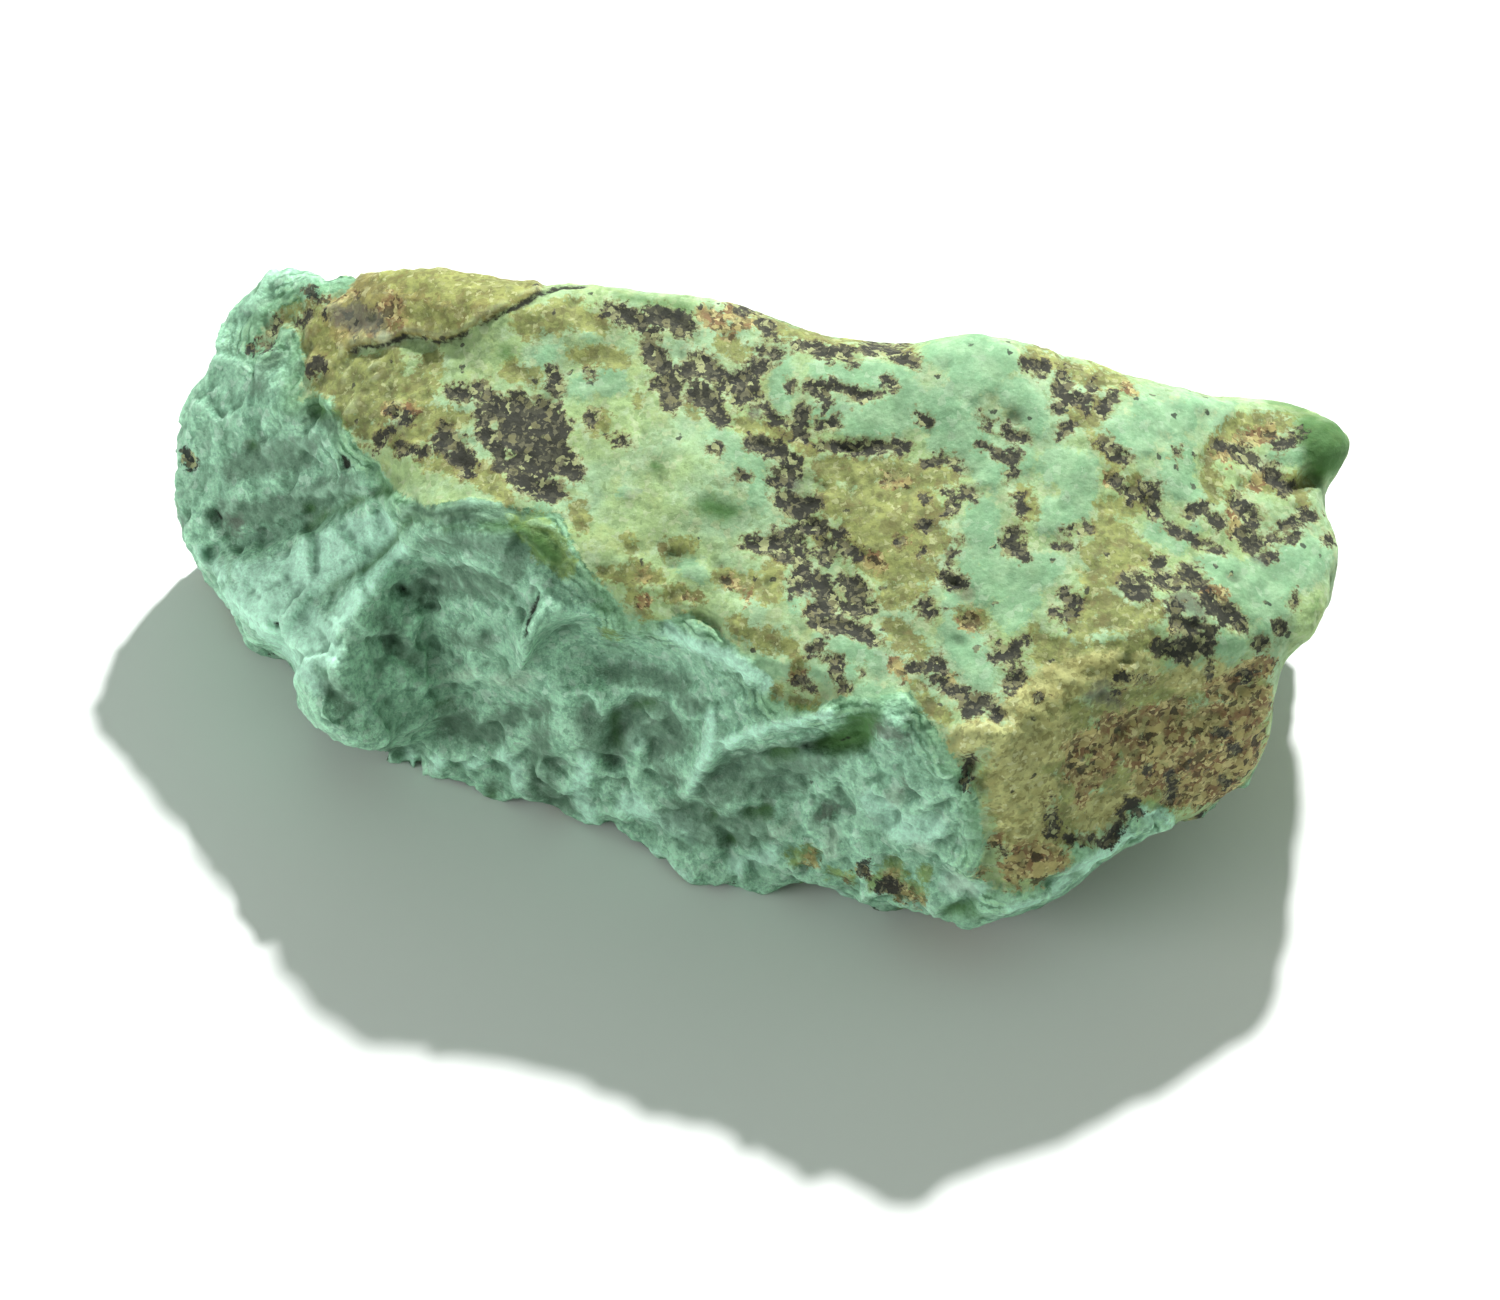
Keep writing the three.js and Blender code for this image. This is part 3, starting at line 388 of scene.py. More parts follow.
# Faces that change the CAD model's showing side: the outline on the map, how they act on the stone,
# the softness of the outline, and planes, of which the lowest counts: u, v and height of a point,
# and the slopes to the right and up the map.
FACETS = [
    # wall of the left end, in shade
    ([(-30, 17.5), (-24, 17.4), (-22.6, 16.6), (-21.6, 14.8), (-20.6, 13.4), (-23.6, 11.2), (-27, 10.5),
      (-30, 10.5)],
     "level", 1.2, [(-24, 14, 6.2, 0.95, 0.3)]),
    # lit top of the left lobe
    ([(-31, 17.8), (-26, 18.2), (-24.2, 18.2), (-23.2, 19), (-22.6, 21), (-22.6, 23), (-23, 27), (-31, 27)],
     "level", 1.4, [(-24, 18.5, 7.4, 1, -0.4)]),
    # lit ledge that fans out below the wall, and its flank
    ([(-30, 10.4), (-26.9, 10.5), (-25.8, 10.9), (-23.6, 11.2), (-21.8, 12.4), (-20.2, 13), (-18.8, 13.2),
      (-18, 12.6), (-18.4, 11), (-19.2, 9.6), (-19.9, 8.4), (-21, 6), (-22.6, 3.4), (-30, 3.4)],
     "cut", 0.7, [(-22, 8, 9.2, 0.95, -0.3)]),
    ([(-30, 10.4), (-26.9, 10.5), (-25.8, 10.9), (-23.6, 11.2), (-21.8, 12.4), (-20.2, 13), (-17.5, 12.8),
      (-15, 11), (-14, 7), (-15, 3), (-19, 1), (-30, 1)],
     "add", 0.6, [(-22, 8, 9.2, 0.95, -0.3), (-19.9, 8.4, 11.1, -0.8, 0.45)]),
    # spur under the rind edge, ending in the lit flake
    ([(-12.4, 13), (-9.4, 12.9), (-8.6, 10), (-8, 7.7), (-9.9, 7.5), (-11, 7), (-11.6, 6.2), (-12.2, 5.2),
      (-12.3, 7), (-11.6, 8.2), (-11.9, 10.2)],
     "add", 0.45, [(-11, 8, 16.9, 0.1, -0.1)]),
]

# Relief finer than the CAD model's: chains of u, v and half width, with the height of each.
RELIEF = [
    (-0.7, [(-7.6, 0.5, 0.6), (-7.5, 1.6, 0.6), (-7, 2.8, 0.6), (-6, 3.3, 0.6), (-5.3, 3.2, 0.4)]),
    (-0.5, [(-4.5, 2.4, 0.5), (-4.2, 1.9, 0.4)]), (-0.4, [(-5.3, 1, 0.5), (-4.7, -0.4, 0.5)]),
    (0.55, [(-6.4, 1.4, 0.8)]),
    (0.55, [(-2.8, 3, 0.5), (-2.6, 1.6, 0.5), (-3.2, 0.4, 0.6), (-3.6, -0.8, 0.5)]),
    (0.6, [(-2.6, 0.8, 0.4), (-1.2, 1.8, 0.5), (0.4, 2.3, 0.5), (2, 2.7, 0.5), (3.4, 2.9, 0.4)]),
    (-0.45, [(-2.3, -0.1, 0.4), (-1, 0.5, 0.5), (0.4, 0.9, 0.5), (1.4, 0.6, 0.4), (1.9, -0.3, 0.4)]),
    (-1.3, [(1.6, 1.1, 0.2), (2.8, 1.2, 0.35), (3.7, 1.4, 0.5), (4.8, 1.8, 0.6)]), (0.6, [(6, 1.9, 0.9)]),
    (-0.25, [(-10.8, 5, 0.5), (-9, 5.9, 0.8), (-6.6, 5.8, 0.8), (-4.4, 5, 0.7), (-2.8, 4.4, 0.5)]),
    (0.3, [(-9.8, 3.6, 0.5), (-8.4, 3.8, 0.4)]), (-0.4, [(2.3, -0.6, 0.35)]), (-0.4, [(-2.6, -2.3, 0.45)]),
    (-0.45, [(-1.7, -3.5, 0.45)]), (-0.35, [(-0.6, -2, 0.4), (0.2, -1.6, 0.4)]),
    (-0.4, [(2.8, -2.2, 0.3), (3.3, -1.7, 0.4), (3.8, -2.4, 0.3)]), (-0.3, [(4, -3.7, 0.35)]),
    (0.35, [(3.3, -4, 0.6)]), (0.4, [(-5.7, -4.4, 0.5), (-4.6, -5.2, 0.5), (-3.6, -5.8, 0.4)]),
    (0.3, [(-1.5, -4.9, 0.6)]), (0.35, [(-9, 0.4, 0.5), (-9.4, -1, 0.6), (-8.6, -2.2, 0.5)]),
    (0.35, [(-6.8, -1.6, 0.6), (-5.4, -2.4, 0.6), (-3.8, -3, 0.5)]), (0.6, [(-19.2, 0.5, 0.7)]),
    (0.55, [(-17.8, 0.4, 0.6)]), (0.6, [(-16.2, 0.5, 0.7)]), (0.5, [(-14.8, 0.3, 0.5), (-14.2, 0.5, 0.4)]),
    (-0.45, [(-13.6, -1.1, 0.6)]), (-0.35, [(-17.2, -1, 0.35), (-15.4, -0.9, 0.35)]),
    (0.35, [(-10.8, 1.2, 0.35), (-11.6, 0.2, 0.4), (-11.8, -0.9, 0.4), (-11.3, -1.8, 0.35)]),
    (-0.4, [(-13.2, 2.6, 0.6), (-11.4, 2.9, 0.6)]),
    (0.4, [(-15.8, 4.7, 0.4), (-14.6, 4.9, 0.4), (-13.2, 4.5, 0.35), (-12.4, 4.9, 0.3)]),
    (-0.35, [(-18.6, 6.4, 0.5), (-17.6, 5.2, 0.5)]), (-0.3, [(-16.4, 9.6, 0.9), (-14.6, 9.4, 0.8)]),
    (-0.5, [(-11.35, 8.8, 0.12), (-11.6, 8, 0.16), (-11.8, 7.2, 0.18), (-12.1, 6.4, 0.15)]),
    (-0.3, [(-4.1, 7.8, 0.15), (-3.3, 7.7, 0.25), (-2.5, 7.3, 0.25), (-1.9, 6.5, 0.15)]),
    (0.25, [(-4.8, 6.9, 0.25), (-3.6, 6.4, 0.3), (-2.2, 5.8, 0.3), (-0.8, 5.3, 0.3)]),
    (-0.4, [(-24.4, 7.3, 0.3)]), (-0.35, [(-17.9, 9, 0.3)]),
    (-0.6, [(-17.6, 12.5, 0.4), (-18.5, 11.6, 0.5), (-19.8, 10.3, 0.7), (-22.1, 8.7, 0.5),
            (-24.1, 6.2, 0.3)]),
    (-0.7, [(-27.8, 10.8, 0.4), (-26.6, 11.3, 0.5), (-24.8, 11.8, 0.5), (-23, 12.4, 0.5), (-20.8, 13.4, 0.5),
            (-18.9, 14.1, 0.3)]),
    (0.4, [(-22.8, 5.6, 0.6), (-21.2, 7.6, 0.7), (-19.6, 9.2, 0.7), (-18, 10.8, 0.5)]),
    (-0.35, [(-21.8, 4.2, 0.7)]), (-0.45, [(-25.4, 16.3, 0.7)]), (-0.4, [(-22.5, 18, 0.5)]),
    (-0.4, [(-22.6, 13.4, 0.6)]), (-0.35, [(-24.4, 13.6, 0.7)]), (0.35, [(-26.2, 14, 0.8)]),
    (-0.5, [(-21, 15.6, 0.25), (-20.9, 15.1, 0.25)]), (-0.4, [(-27.4, 12.8, 0.4)]),
    (-0.3, [(-27.6, 10.9, 0.35)]), (-0.45, [(-18.6, 13.7, 0.25), (-19.3, 13.2, 0.35)]),
    (0.5, [(9.9, 1.6, 0.8), (11, 1.9, 0.8), (11.9, 1.7, 0.6)]), (-0.6, [(10.3, 0.3, 0.3), (9.9, -0.6, 0.3)]),
    (-0.8, [(27.3, 14.5, 0.6), (26.6, 14.2, 0.3)]),
]

# Where the broken face is a smooth shell, and where the rind is ribbed.
SMOOTH = [
    [(-10.2, 5.6, 0.9), (-8.8, 6, 1.3), (-6.6, 5.6, 1.3), (-4.4, 5.2, 1.1), (-2.4, 4.8, 0.7)],
    [(-11.1, 6.6, 0.6), (-10.6, 8, 0.8), (-9.2, 7.9, 0.7)],
]
RIBBED = [
    [(-20.4, 18.8, 1.6), (-18.8, 19.4, 1.6), (-18, 17.6, 1.2)],
]

# Where the edge of the stone is drawn in, and its break is calm.
DRAWN_IN = [
    [(26.6, 6, 0.5), (26.3, 1.4, 0.6), (24.8, -1.8, 0.8), (22, -3.4, 0.8), (19.6, -4.2, 0.8),
     (17.4, -5.4, 0.8), (15.4, -7, 0.9), (12.6, -8.4, 1), (10, -9, 0.8)],
]
INSET = 0.55

OUTSIDE = -3.0  # depth kept for places well outside every patch of a kind
HIDDEN_ROUNDS = 40  # how softly changes of the showing side fade out behind it
# Painted shade: the sides the camera doesn't see face the key lamp, and their colour is darkened by this
# much.
HIDDEN_PAINTED_SHADE = 0.72  # the sides turned to the key lamp are this much darker, which keeps their colour

# How far each kind of patch sinks in, or stands proud if above nought.
SINK = {"black": -0.14, "split": -0.35, "olive": -0.1, "brown": -0.1, "mint": 0.12, "chalk": 0.06,
        "slate": -0.05, "sand_and_light": 0.05}
CRUST_THICKNESS = 0.35
RIND_DROP = 0.12  # keeps the rind's mean height on the CAD model's surface

# Patches where the camera doesn't look: the size of each kind, and how much noise it takes to be one.
HIDDEN_PATCHES = {
    "black": (1.6, 0.36), "olive": (4.5, 0.12), "brown": (3.2, 0.34), "mint": (5.0, 0.18),
    "green": (4.0, 0.45), "chalk": (2.4, 0.5), "slate": (2.8, 0.5), "pale": (3.5, 0.3), "dim": (3.5, 0.3),
    "sand_and_light": (3.6, 0.35),
}
HIDDEN_SEED = 40


# ---------------------------------------------------------------- noise

CELLS = 256  # noise repeats after this many of its cells
NOISE_GAIN = 1.6


def hashed(cells, order):
    """A number below CELLS for each cell of a cubic grid."""
    x, y, z = (cells % CELLS).T
    return order[(order[(order[x] + y) % CELLS] + z) % CELLS]


def noise(points, size, seed):
    """Smooth noise, about -1 to 1, with swells the given size across."""
    rng = np.random.default_rng(seed)
    order = rng.permutation(CELLS)
    slopes = rng.normal(size=(CELLS, 3))
    slopes /= np.linalg.norm(slopes, axis=1)[:, None]
    scaled = points / size
    cell = np.floor(scaled).astype(int)
    place = scaled - cell
    fade = place ** 3 * (place * (place * 6 - 15) + 10)
    total = np.zeros(len(points))
    for corner in product((0, 1), repeat=3):
        slope = slopes[hashed(cell + corner, order)]
        share = np.prod(np.where(corner, fade, 1 - fade), axis=1)
        total += share * ((place - corner) * slope).sum(axis=1)
    return total * NOISE_GAIN


def layered(points, size, layers, seed):
    """Noise added up in layers, each half the size and half the strength of the last."""
    total = sum(noise(points, size / 2 ** i, seed + i) / 2 ** i for i in range(layers))
    return total / (2 - 0.5 ** (layers - 1))


def shards(points, size, seed):
    """Scattered cells: the nearest one's number, and the offset and the distance from its middle."""
    rng = np.random.default_rng(seed)
    order = rng.permutation(CELLS)
    middles = rng.random((CELLS, 3))
    scaled = points / size
    cell = np.floor(scaled).astype(int)
    best = np.full(len(points), np.inf)
    number = np.zeros(len(points), int)
    offset = np.zeros((len(points), 3))
    for step in product((-1, 0, 1), repeat=3):
        found = hashed(cell + step, order)
        away = scaled - (cell + step + middles[found])
        distance = np.linalg.norm(away, axis=1)
        nearer = distance < best
        best = np.where(nearer, distance, best)
        number[nearer] = found[nearer]
        offset[nearer] = away[nearer]
    return number, offset * size, best * size


def fracture(points, size, seed):
    """Height of a hackly broken surface: flat chips of the given size, each tilted its own way."""
    number, offset, _ = shards(points, size, seed)
    tilts = np.random.default_rng(seed + 1).normal(size=(CELLS, 3))
    return (tilts[number] * offset).sum(axis=1)


def knobs(points, size, seed):
    """Height of rounded knobs packed side by side, 0 in the seams to 1 on top."""
    _, _, distance = shards(points, size, seed)
    return np.clip(1 - (distance / (0.75 * size)) ** 2, 0, 1)


def stretched(points, direction, factor):
    """Points squeezed along a direction, which makes noise at them that much longer that way."""
    direction = np.array(direction) / np.linalg.norm(direction)
    return points - np.outer(points @ direction, direction) * (1 - 1 / factor)


def eased(value, low, high):
    """0 below low, 1 above high and a smooth rise between."""
    part = np.clip((value - low) / (high - low), 0, 1)
    return part * part * (3 - 2 * part)


# ---------------------------------------------------------------- map of the showing side

def height_over_map(points):
    return points[:, 2] * math.sin(LEAN) - (points[:, 1] - MAP_SHIFT[1]) * math.cos(LEAN)


def to_map(points):
    """Places of frame points, in millimetres, on the map as the camera sees them."""
    aim_u, aim_v, aim_height = CAMERA_AIM
    right = points[:, 0] - MAP_SHIFT[0] - aim_u
    up = (points[:, 1] - MAP_SHIFT[1]) * math.sin(LEAN) + points[:, 2] * math.cos(LEAN) - aim_v
    nearness = CAMERA_DISTANCE / (CAMERA_DISTANCE + aim_height - height_over_map(points))
    return np.stack([aim_u + right * nearness, aim_v + up * nearness], axis=1)


def from_map(u, v, height):
    """The frame point, in millimetres, at a place on the map and a height over it."""
    y = v * math.sin(LEAN) - height * math.cos(LEAN) + MAP_SHIFT[1]
    z = v * math.cos(LEAN) + height * math.sin(LEAN)
    return Vector((u + MAP_SHIFT[0], y, z))


def raised(points, rise):
    """Points moved along the camera's line of sight until they are higher over the map by the given rise."""
    aim_u, aim_v, aim_height = CAMERA_AIM
    eye = np.array(from_map(aim_u, aim_v, aim_height + CAMERA_DISTANCE))
    gap = aim_height + CAMERA_DISTANCE - height_over_map(points)
    return points + (eye - points) * (rise / gap)[:, None]


def to_segment(places, start, end):
    """Distance from each place to a segment, and how far along it the nearest point is."""
    start, end = np.array(start), np.array(end)
    run = end - start
    along = np.clip(((places - start) @ run) / max(run @ run, 1e-9), 0, 1)
    return np.linalg.norm(places - start - along[:, None] * run, axis=1), along


def inside_chain(places, chain):
    """How deep each place lies inside a chain of blots, in millimetres, below nought outside it."""
    depth = np.full(len(places), -np.inf)
    links = list(zip(chain, chain[1:])) or [(chain[0], chain[0])]
    for (u0, v0, r0), (u1, v1, r1) in links:
        distance, along = to_segment(places, (u0, v0), (u1, v1))
        depth = np.maximum(depth, r0 + (r1 - r0) * along - distance)
    return depth


def inside_chains(places, chains):
    """How deep each place lies inside the nearest of several chains, no less than OUTSIDE."""
    depth = np.full(len(places), OUTSIDE)
    for chain in chains:
        blots = np.array(chain)
        reach = blots[:, 2].max() - OUTSIDE
        low, high = blots[:, :2].min(axis=0) - reach, blots[:, :2].max(axis=0) + reach
        near = np.flatnonzero(((places > low) & (places < high)).all(axis=1))
        depth[near] = np.maximum(depth[near], inside_chain(places[near], chain))
    return depth


def inside_outline(places, outline):
    """How deep each place lies inside a closed outline, below nought outside it."""
    distance = np.full(len(places), np.inf)
    within = np.zeros(len(places), bool)
    for start, end in zip(outline, outline[1:] + outline[:1]):
        distance = np.minimum(distance, to_segment(places, start, end)[0])
        crosses = (start[1] > places[:, 1]) != (end[1] > places[:, 1])
        rise = (end[1] - start[1]) or 1e-9
        crossing = start[0] + (places[:, 1] - start[1]) / rise * (end[0] - start[0])
        within ^= crosses & (places[:, 0] < crossing)
    return np.where(within, distance, -distance)


# ---------------------------------------------------------------- meshes and objects

def new_object(name, data):
    thing = bpy.data.objects.new(name, data)
    bpy.context.scene.collection.objects.link(thing)
    return thing


def modified(mesh, kind, weights=None, **settings):
    """A new mesh: the given one after one modifier, which acts by the weights if there are any."""
    holder = new_object("holder", mesh)
    modifier = holder.modifiers.new("change", kind)
    for name, value in settings.items():
        setattr(modifier, name, value)
    if weights is not None:
        group = holder.vertex_groups.new(name="weights")
        for index, weight in enumerate(weights.tolist()):
            group.add((index,), weight, "REPLACE")
        modifier.vertex_group = group.name
    graph = bpy.context.evaluated_depsgraph_get()
    result = bpy.data.meshes.new_from_object(holder.evaluated_get(graph))
    bpy.data.objects.remove(holder)
    return result


def remeshed(mesh, voxel):
    """The same surface in small even faces."""
    return modified(mesh, "REMESH", mode="VOXEL", voxel_size=voxel * MM)


def joined(mesh):
    """A copy whose faces share their corners, with the knobs set into it."""
    shell = bmesh.new()
    shell.from_mesh(mesh)
    bmesh.ops.remove_doubles(shell, verts=shell.verts, dist=1e-6)
    for u, v, height, radius in KNOBS:
        place = Matrix.Translation(from_map(u, v, height) * MM)
        bmesh.ops.create_icosphere(shell, subdivisions=4, radius=radius * MM, matrix=place)
    copy = bpy.data.meshes.new("joined")
    shell.to_mesh(copy)
    shell.free()
    return copy


def read_points(mesh):
    points = np.zeros(len(mesh.vertices) * 3)
    mesh.vertices.foreach_get("co", points)
    return points.reshape(-1, 3) / MM


def write_points(mesh, points):
    mesh.vertices.foreach_set("co", (points * MM).ravel())
    mesh.update()


def read_normals(mesh):
    normals = np.zeros(len(mesh.vertices) * 3, np.float32)
    mesh.vertex_normals.foreach_get("vector", normals)
    return normals.reshape(-1, 3).astype(float)


def smoothed(mesh, values, rounds, share=0.6):
    """Values at the vertices, each drawn towards the mean of its neighbours."""
    edges = np.zeros(len(mesh.edges) * 2, int)
    mesh.edges.foreach_get("vertices", edges)
    one, other = edges.reshape(-1, 2).T
    count = np.bincount(edges, minlength=len(values))[:, None]
    result = values.reshape(len(values), -1).astype(float)
    for _ in range(rounds):
        total = np.zeros_like(result)
        for axis in range(result.shape[1]):
            total[:, axis] += np.bincount(one, result[other, axis], len(values))
            total[:, axis] += np.bincount(other, result[one, axis], len(values))
        result = result + share * (total / count - result)
    return result.reshape(values.shape)


def store(mesh, name, values):
    """Keeps one number for each vertex, for the material to read."""
    layer = mesh.attributes.new(name, "FLOAT", "POINT")
    layer.data.foreach_set("value", values.astype(np.float32))


# ---------------------------------------------------------------- patches and relief

def hidden_depth(points, kind):
    """Depth inside patches scattered by noise, for the sides the camera doesn't see."""
    if kind not in HIDDEN_PATCHES:
        return np.full(len(points), OUTSIDE)
    size, level = HIDDEN_PATCHES[kind]
    seed = HIDDEN_SEED + list(HIDDEN_PATCHES).index(kind)
    return (layered(points, size, 3, seed) - level) * size * 0.7


def all_patches(points, seen, drawn):
    """Depth inside each kind of patch at every vertex, from the map where drawn and from noise elsewhere."""
    places = to_map(points)
    patches = {}
    for kind, chains in PATCHES.items():
        patches[kind] = drawn * inside_chains(places, chains) + (1 - drawn) * hidden_depth(points, kind)
    rind_behind = layered(points, 9, 3, seed=60) * 5 + (points[:, 2] - 6) * 0.5
    patches["rind"] = seen * inside_outline(places, RIND) + (1 - seen) * rind_behind
    patches["crust"] = seen * inside_outline(places, CRUST) - (1 - seen) * 4
    return patches


def rind_height(points, patches):
    """The weathered rind: lumpy and granular, smoother and fuller where it is mint."""
    mint = eased(patches["mint"], -0.3, 0.4)
    stained = eased(np.maximum(patches["olive"], patches["brown"]), -0.3, 0.3)
    lumps = 0.16 * layered(points, 2.6, 2, seed=11)
    nodules = (0.05 + 0.07 * stained - 0.03 * mint) * knobs(points, 0.75, seed=12)
    grain = (0.05 + 0.06 * stained - 0.02 * mint) * layered(points, 0.5, 2, seed=13)
    chips = 0.05 * (1 - 0.5 * mint) * fracture(points, 0.6, seed=15)
    pores = 0.2 * eased(noise(points, 1.1, seed=14), 0.5, 0.8)
    ridges = np.abs(noise(stretched(points, (0.55, 0.3, 0.8), 4), 0.55, seed=16))
    ribs = 0.4 * eased(inside_chains(to_map(points), RIBBED), -0.5, 0.5) * ridges
    crust = CRUST_THICKNESS * eased(patches["crust"], -0.1, 0.2)
    height = lumps + nodules + grain + chips - pores + ribs + crust - RIND_DROP
    for kind, sink in SINK.items():
        height += sink * eased(patches[kind], -0.15, 0.3)
    return height


def break_height(points, patches):
    """The broken face: hackly and streaked, in thin layers along the rind and knobbly low down."""
    places = to_map(points)
    streaks = stretched(points, (0.35, 0.0, 0.94), 2)
    chips = 0.1 * fracture(points, 2.4, seed=21) + 0.1 * fracture(points, 0.45, seed=25)
    splinters = 0.09 * fracture(streaks, 1.1, seed=22) + 0.07 * fracture(streaks, 0.6, seed=23)
    creases = 0.06 * np.abs(noise(streaks, 0.6, seed=26))
    swells = 0.12 * layered(points, 2.2, 4, seed=27)
    low_down = eased(-places[:, 1], -3.5, 0.5)
    lumps = 0.25 * low_down * (knobs(points, 1.3, seed=29) - 0.5)
    under_rind = eased(patches["rind"], -2.6, -0.4)
    layers = 0.25 * under_rind * np.abs((patches["rind"] / 0.42) % 1 - 0.5)
    height = chips + splinters + creases + swells + lumps + layers
    height *= 1 - 0.85 * eased(inside_chains(places, SMOOTH), -0.4, 0.4)
    for kind in ("black", "split", "green"):
        height -= 0.15 * eased(patches[kind], -0.1, 0.25)
    return height


def named_relief(places):
    """Height of the hollows, cracks and knobs that are placed one by one."""
    total = np.zeros(len(places))
    for height, chain in RELIEF:
        radius = max(r for _, _, r in chain)
        total += height * eased(inside_chain(places, chain), -0.5 * radius, 0.8 * radius)
    return total


# ---------------------------------------------------------------- the stone's fine mesh

def blend_knobs(mesh):
    """Rounds the seams where the knobs meet the stone."""
    points = read_points(mesh)
    calm = smoothed(mesh, points, rounds=14)
    for u, v, height, radius in KNOBS:
        away = np.linalg.norm(points - np.array(from_map(u, v, height)), axis=1) / radius
        points += eased(-away, -2.0, -1.2)[:, None] * (calm - points)
    write_points(mesh, points)


def facing_camera(mesh, rounds):
    """1 where the surface looks straight at the camera, down to -1 where it looks straight away."""
    normals = read_normals(mesh)
    return smoothed(mesh, normals[:, 2] * math.sin(LEAN) - normals[:, 1] * math.cos(LEAN), rounds)


def with_facets(places, height):
    """Heights over the map after the left end is lowered and the named faces are cut or added."""
    height = height - LEFT_SINK * eased(places[:, 0], LEFT_FROM, LEFT_TO)
    for outline, action, softness, planes in FACETS:
        face = np.min([level + right * (places[:, 0] - u) + up * (places[:, 1] - v)
                       for u, v, level, right, up in planes], axis=0)
        target = {"level": face, "cut": np.minimum(height, face), "add": np.maximum(height, face)}[action]
        height += eased(inside_outline(places, outline), -softness, softness) * (target - height)
    return height


def carve_facets(mesh):
    """Brings the showing side to the named faces, moving it along the line of sight."""
    points = read_points(mesh)
    facing = facing_camera(mesh, rounds=3)
    before = height_over_map(points)
    rise = eased(facing, 0.0, 0.35) * (with_facets(to_map(points), before) - before)
    for _ in range(HIDDEN_ROUNDS):
        rise = np.where(facing > 0.35, rise, smoothed(mesh, rise, rounds=1))
    bed = points[:, 2] < BED_SKIN
    moved = raised(points, np.where(bed, 0, rise))
    moved[:, 2] = np.maximum(moved[:, 2], 0)
    write_points(mesh, moved)


def soften(mesh, facing):
    """Smooths away the faceted skin, more so at the back, and gives the points that are left."""
    calm = smoothed(mesh, read_points(mesh), rounds=3)
    calmer = smoothed(mesh, calm, rounds=25)
    points = calm + eased(-facing, 0.15, 0.4)[:, None] * (calmer - calm)
    write_points(mesh, points)
    return points


def shape_stone(mesh):
    """Adds the fine relief to the mesh and keeps the patches for the material."""
    bed = read_points(mesh)[:, 2] < BED_SKIN
    facing = facing_camera(mesh, rounds=6)
    seen = eased(facing, -0.1, 0.1)
    drawn = eased(facing, -0.05, 0.12)
    points = soften(mesh, facing)
    normals = read_normals(mesh)
    patches = all_patches(points, seen, drawn)
    rind = eased(patches["rind"], -0.12, 0.12)
    height = rind * rind_height(points, patches) + (1 - rind) * break_height(points, patches)
    edge = eased(inside_chains(to_map(points), DRAWN_IN), -0.8, 0.6)
    height = smoothed(mesh, height * (1 - 0.7 * edge), rounds=1) - INSET * edge
    moved = raised(points, seen * named_relief(to_map(points)))
    moved += normals * height[:, None]
    moved[:, 2] = np.where(bed, 0, np.maximum(moved[:, 2], 0))
    write_points(mesh, moved)
    for kind, depth in patches.items():
        store(mesh, kind, depth)
    store(mesh, "hidden", 1 - drawn)
    # proud and bulge keep how high the relief stands over its surroundings; the material paints light and
    # shade from them
    store(mesh, "proud", height - smoothed(mesh, height, rounds=12))
    store(mesh, "bulge", ((moved - smoothed(mesh, moved, rounds=45)) * normals).sum(axis=1))
    return 1 - seen


# ---------------------------------------------------------------- nodes

def srgb(red, green, blue):
    """Linear colour from 0-255 screen values, none of them under 11."""
    return (*(((value / 255 + 0.055) / 1.055) ** 2.4 for value in (red, green, blue)), 1)


def is_socket(value):
    return isinstance(value, bpy.types.NodeSocket)


class Nodes:
    """Builds a node tree one call at a time. A value is a socket or a number."""

    def __init__(self, tree):
        self.tree = tree

    def feed(self, socket, value):
        if is_socket(value):
            self.tree.links.new(value, socket)
        else:
            socket.default_value = value

    def add(self, kind, inputs, **settings):
        """The outputs of a new node with the given settings and inputs."""
        node = self.tree.nodes.new("ShaderNode" + kind)
        for name, value in settings.items():
            setattr(node, name, value)
        for name, value in inputs.items():
            self.feed(node.inputs[name], value)
        return node.outputs

    def math(self, operation, *values):
        return self.add("Math", dict(enumerate(values)), operation=operation)[0]

    def plus(self, one, share, other):
        """One value, with a share of another added."""
        return self.math("MULTIPLY_ADD", other, share, one)

    def vector(self, operation, one, other):
        return self.add("VectorMath", {0: one, 1: other}, operation=operation)[0]

    def attribute(self, name):
        return self.add("Attribute", {}, attribute_name=name)["Fac"]

    def ramp(self, value, low, high, bottom=0.0, top=1.0):
        """Eases from bottom to top as the value goes from low to high."""
        inputs = {"Value": value, "From Min": low, "From Max": high, "To Min": bottom, "To Max": top}
        return self.add("MapRange", inputs, interpolation_type="SMOOTHSTEP")["Result"]


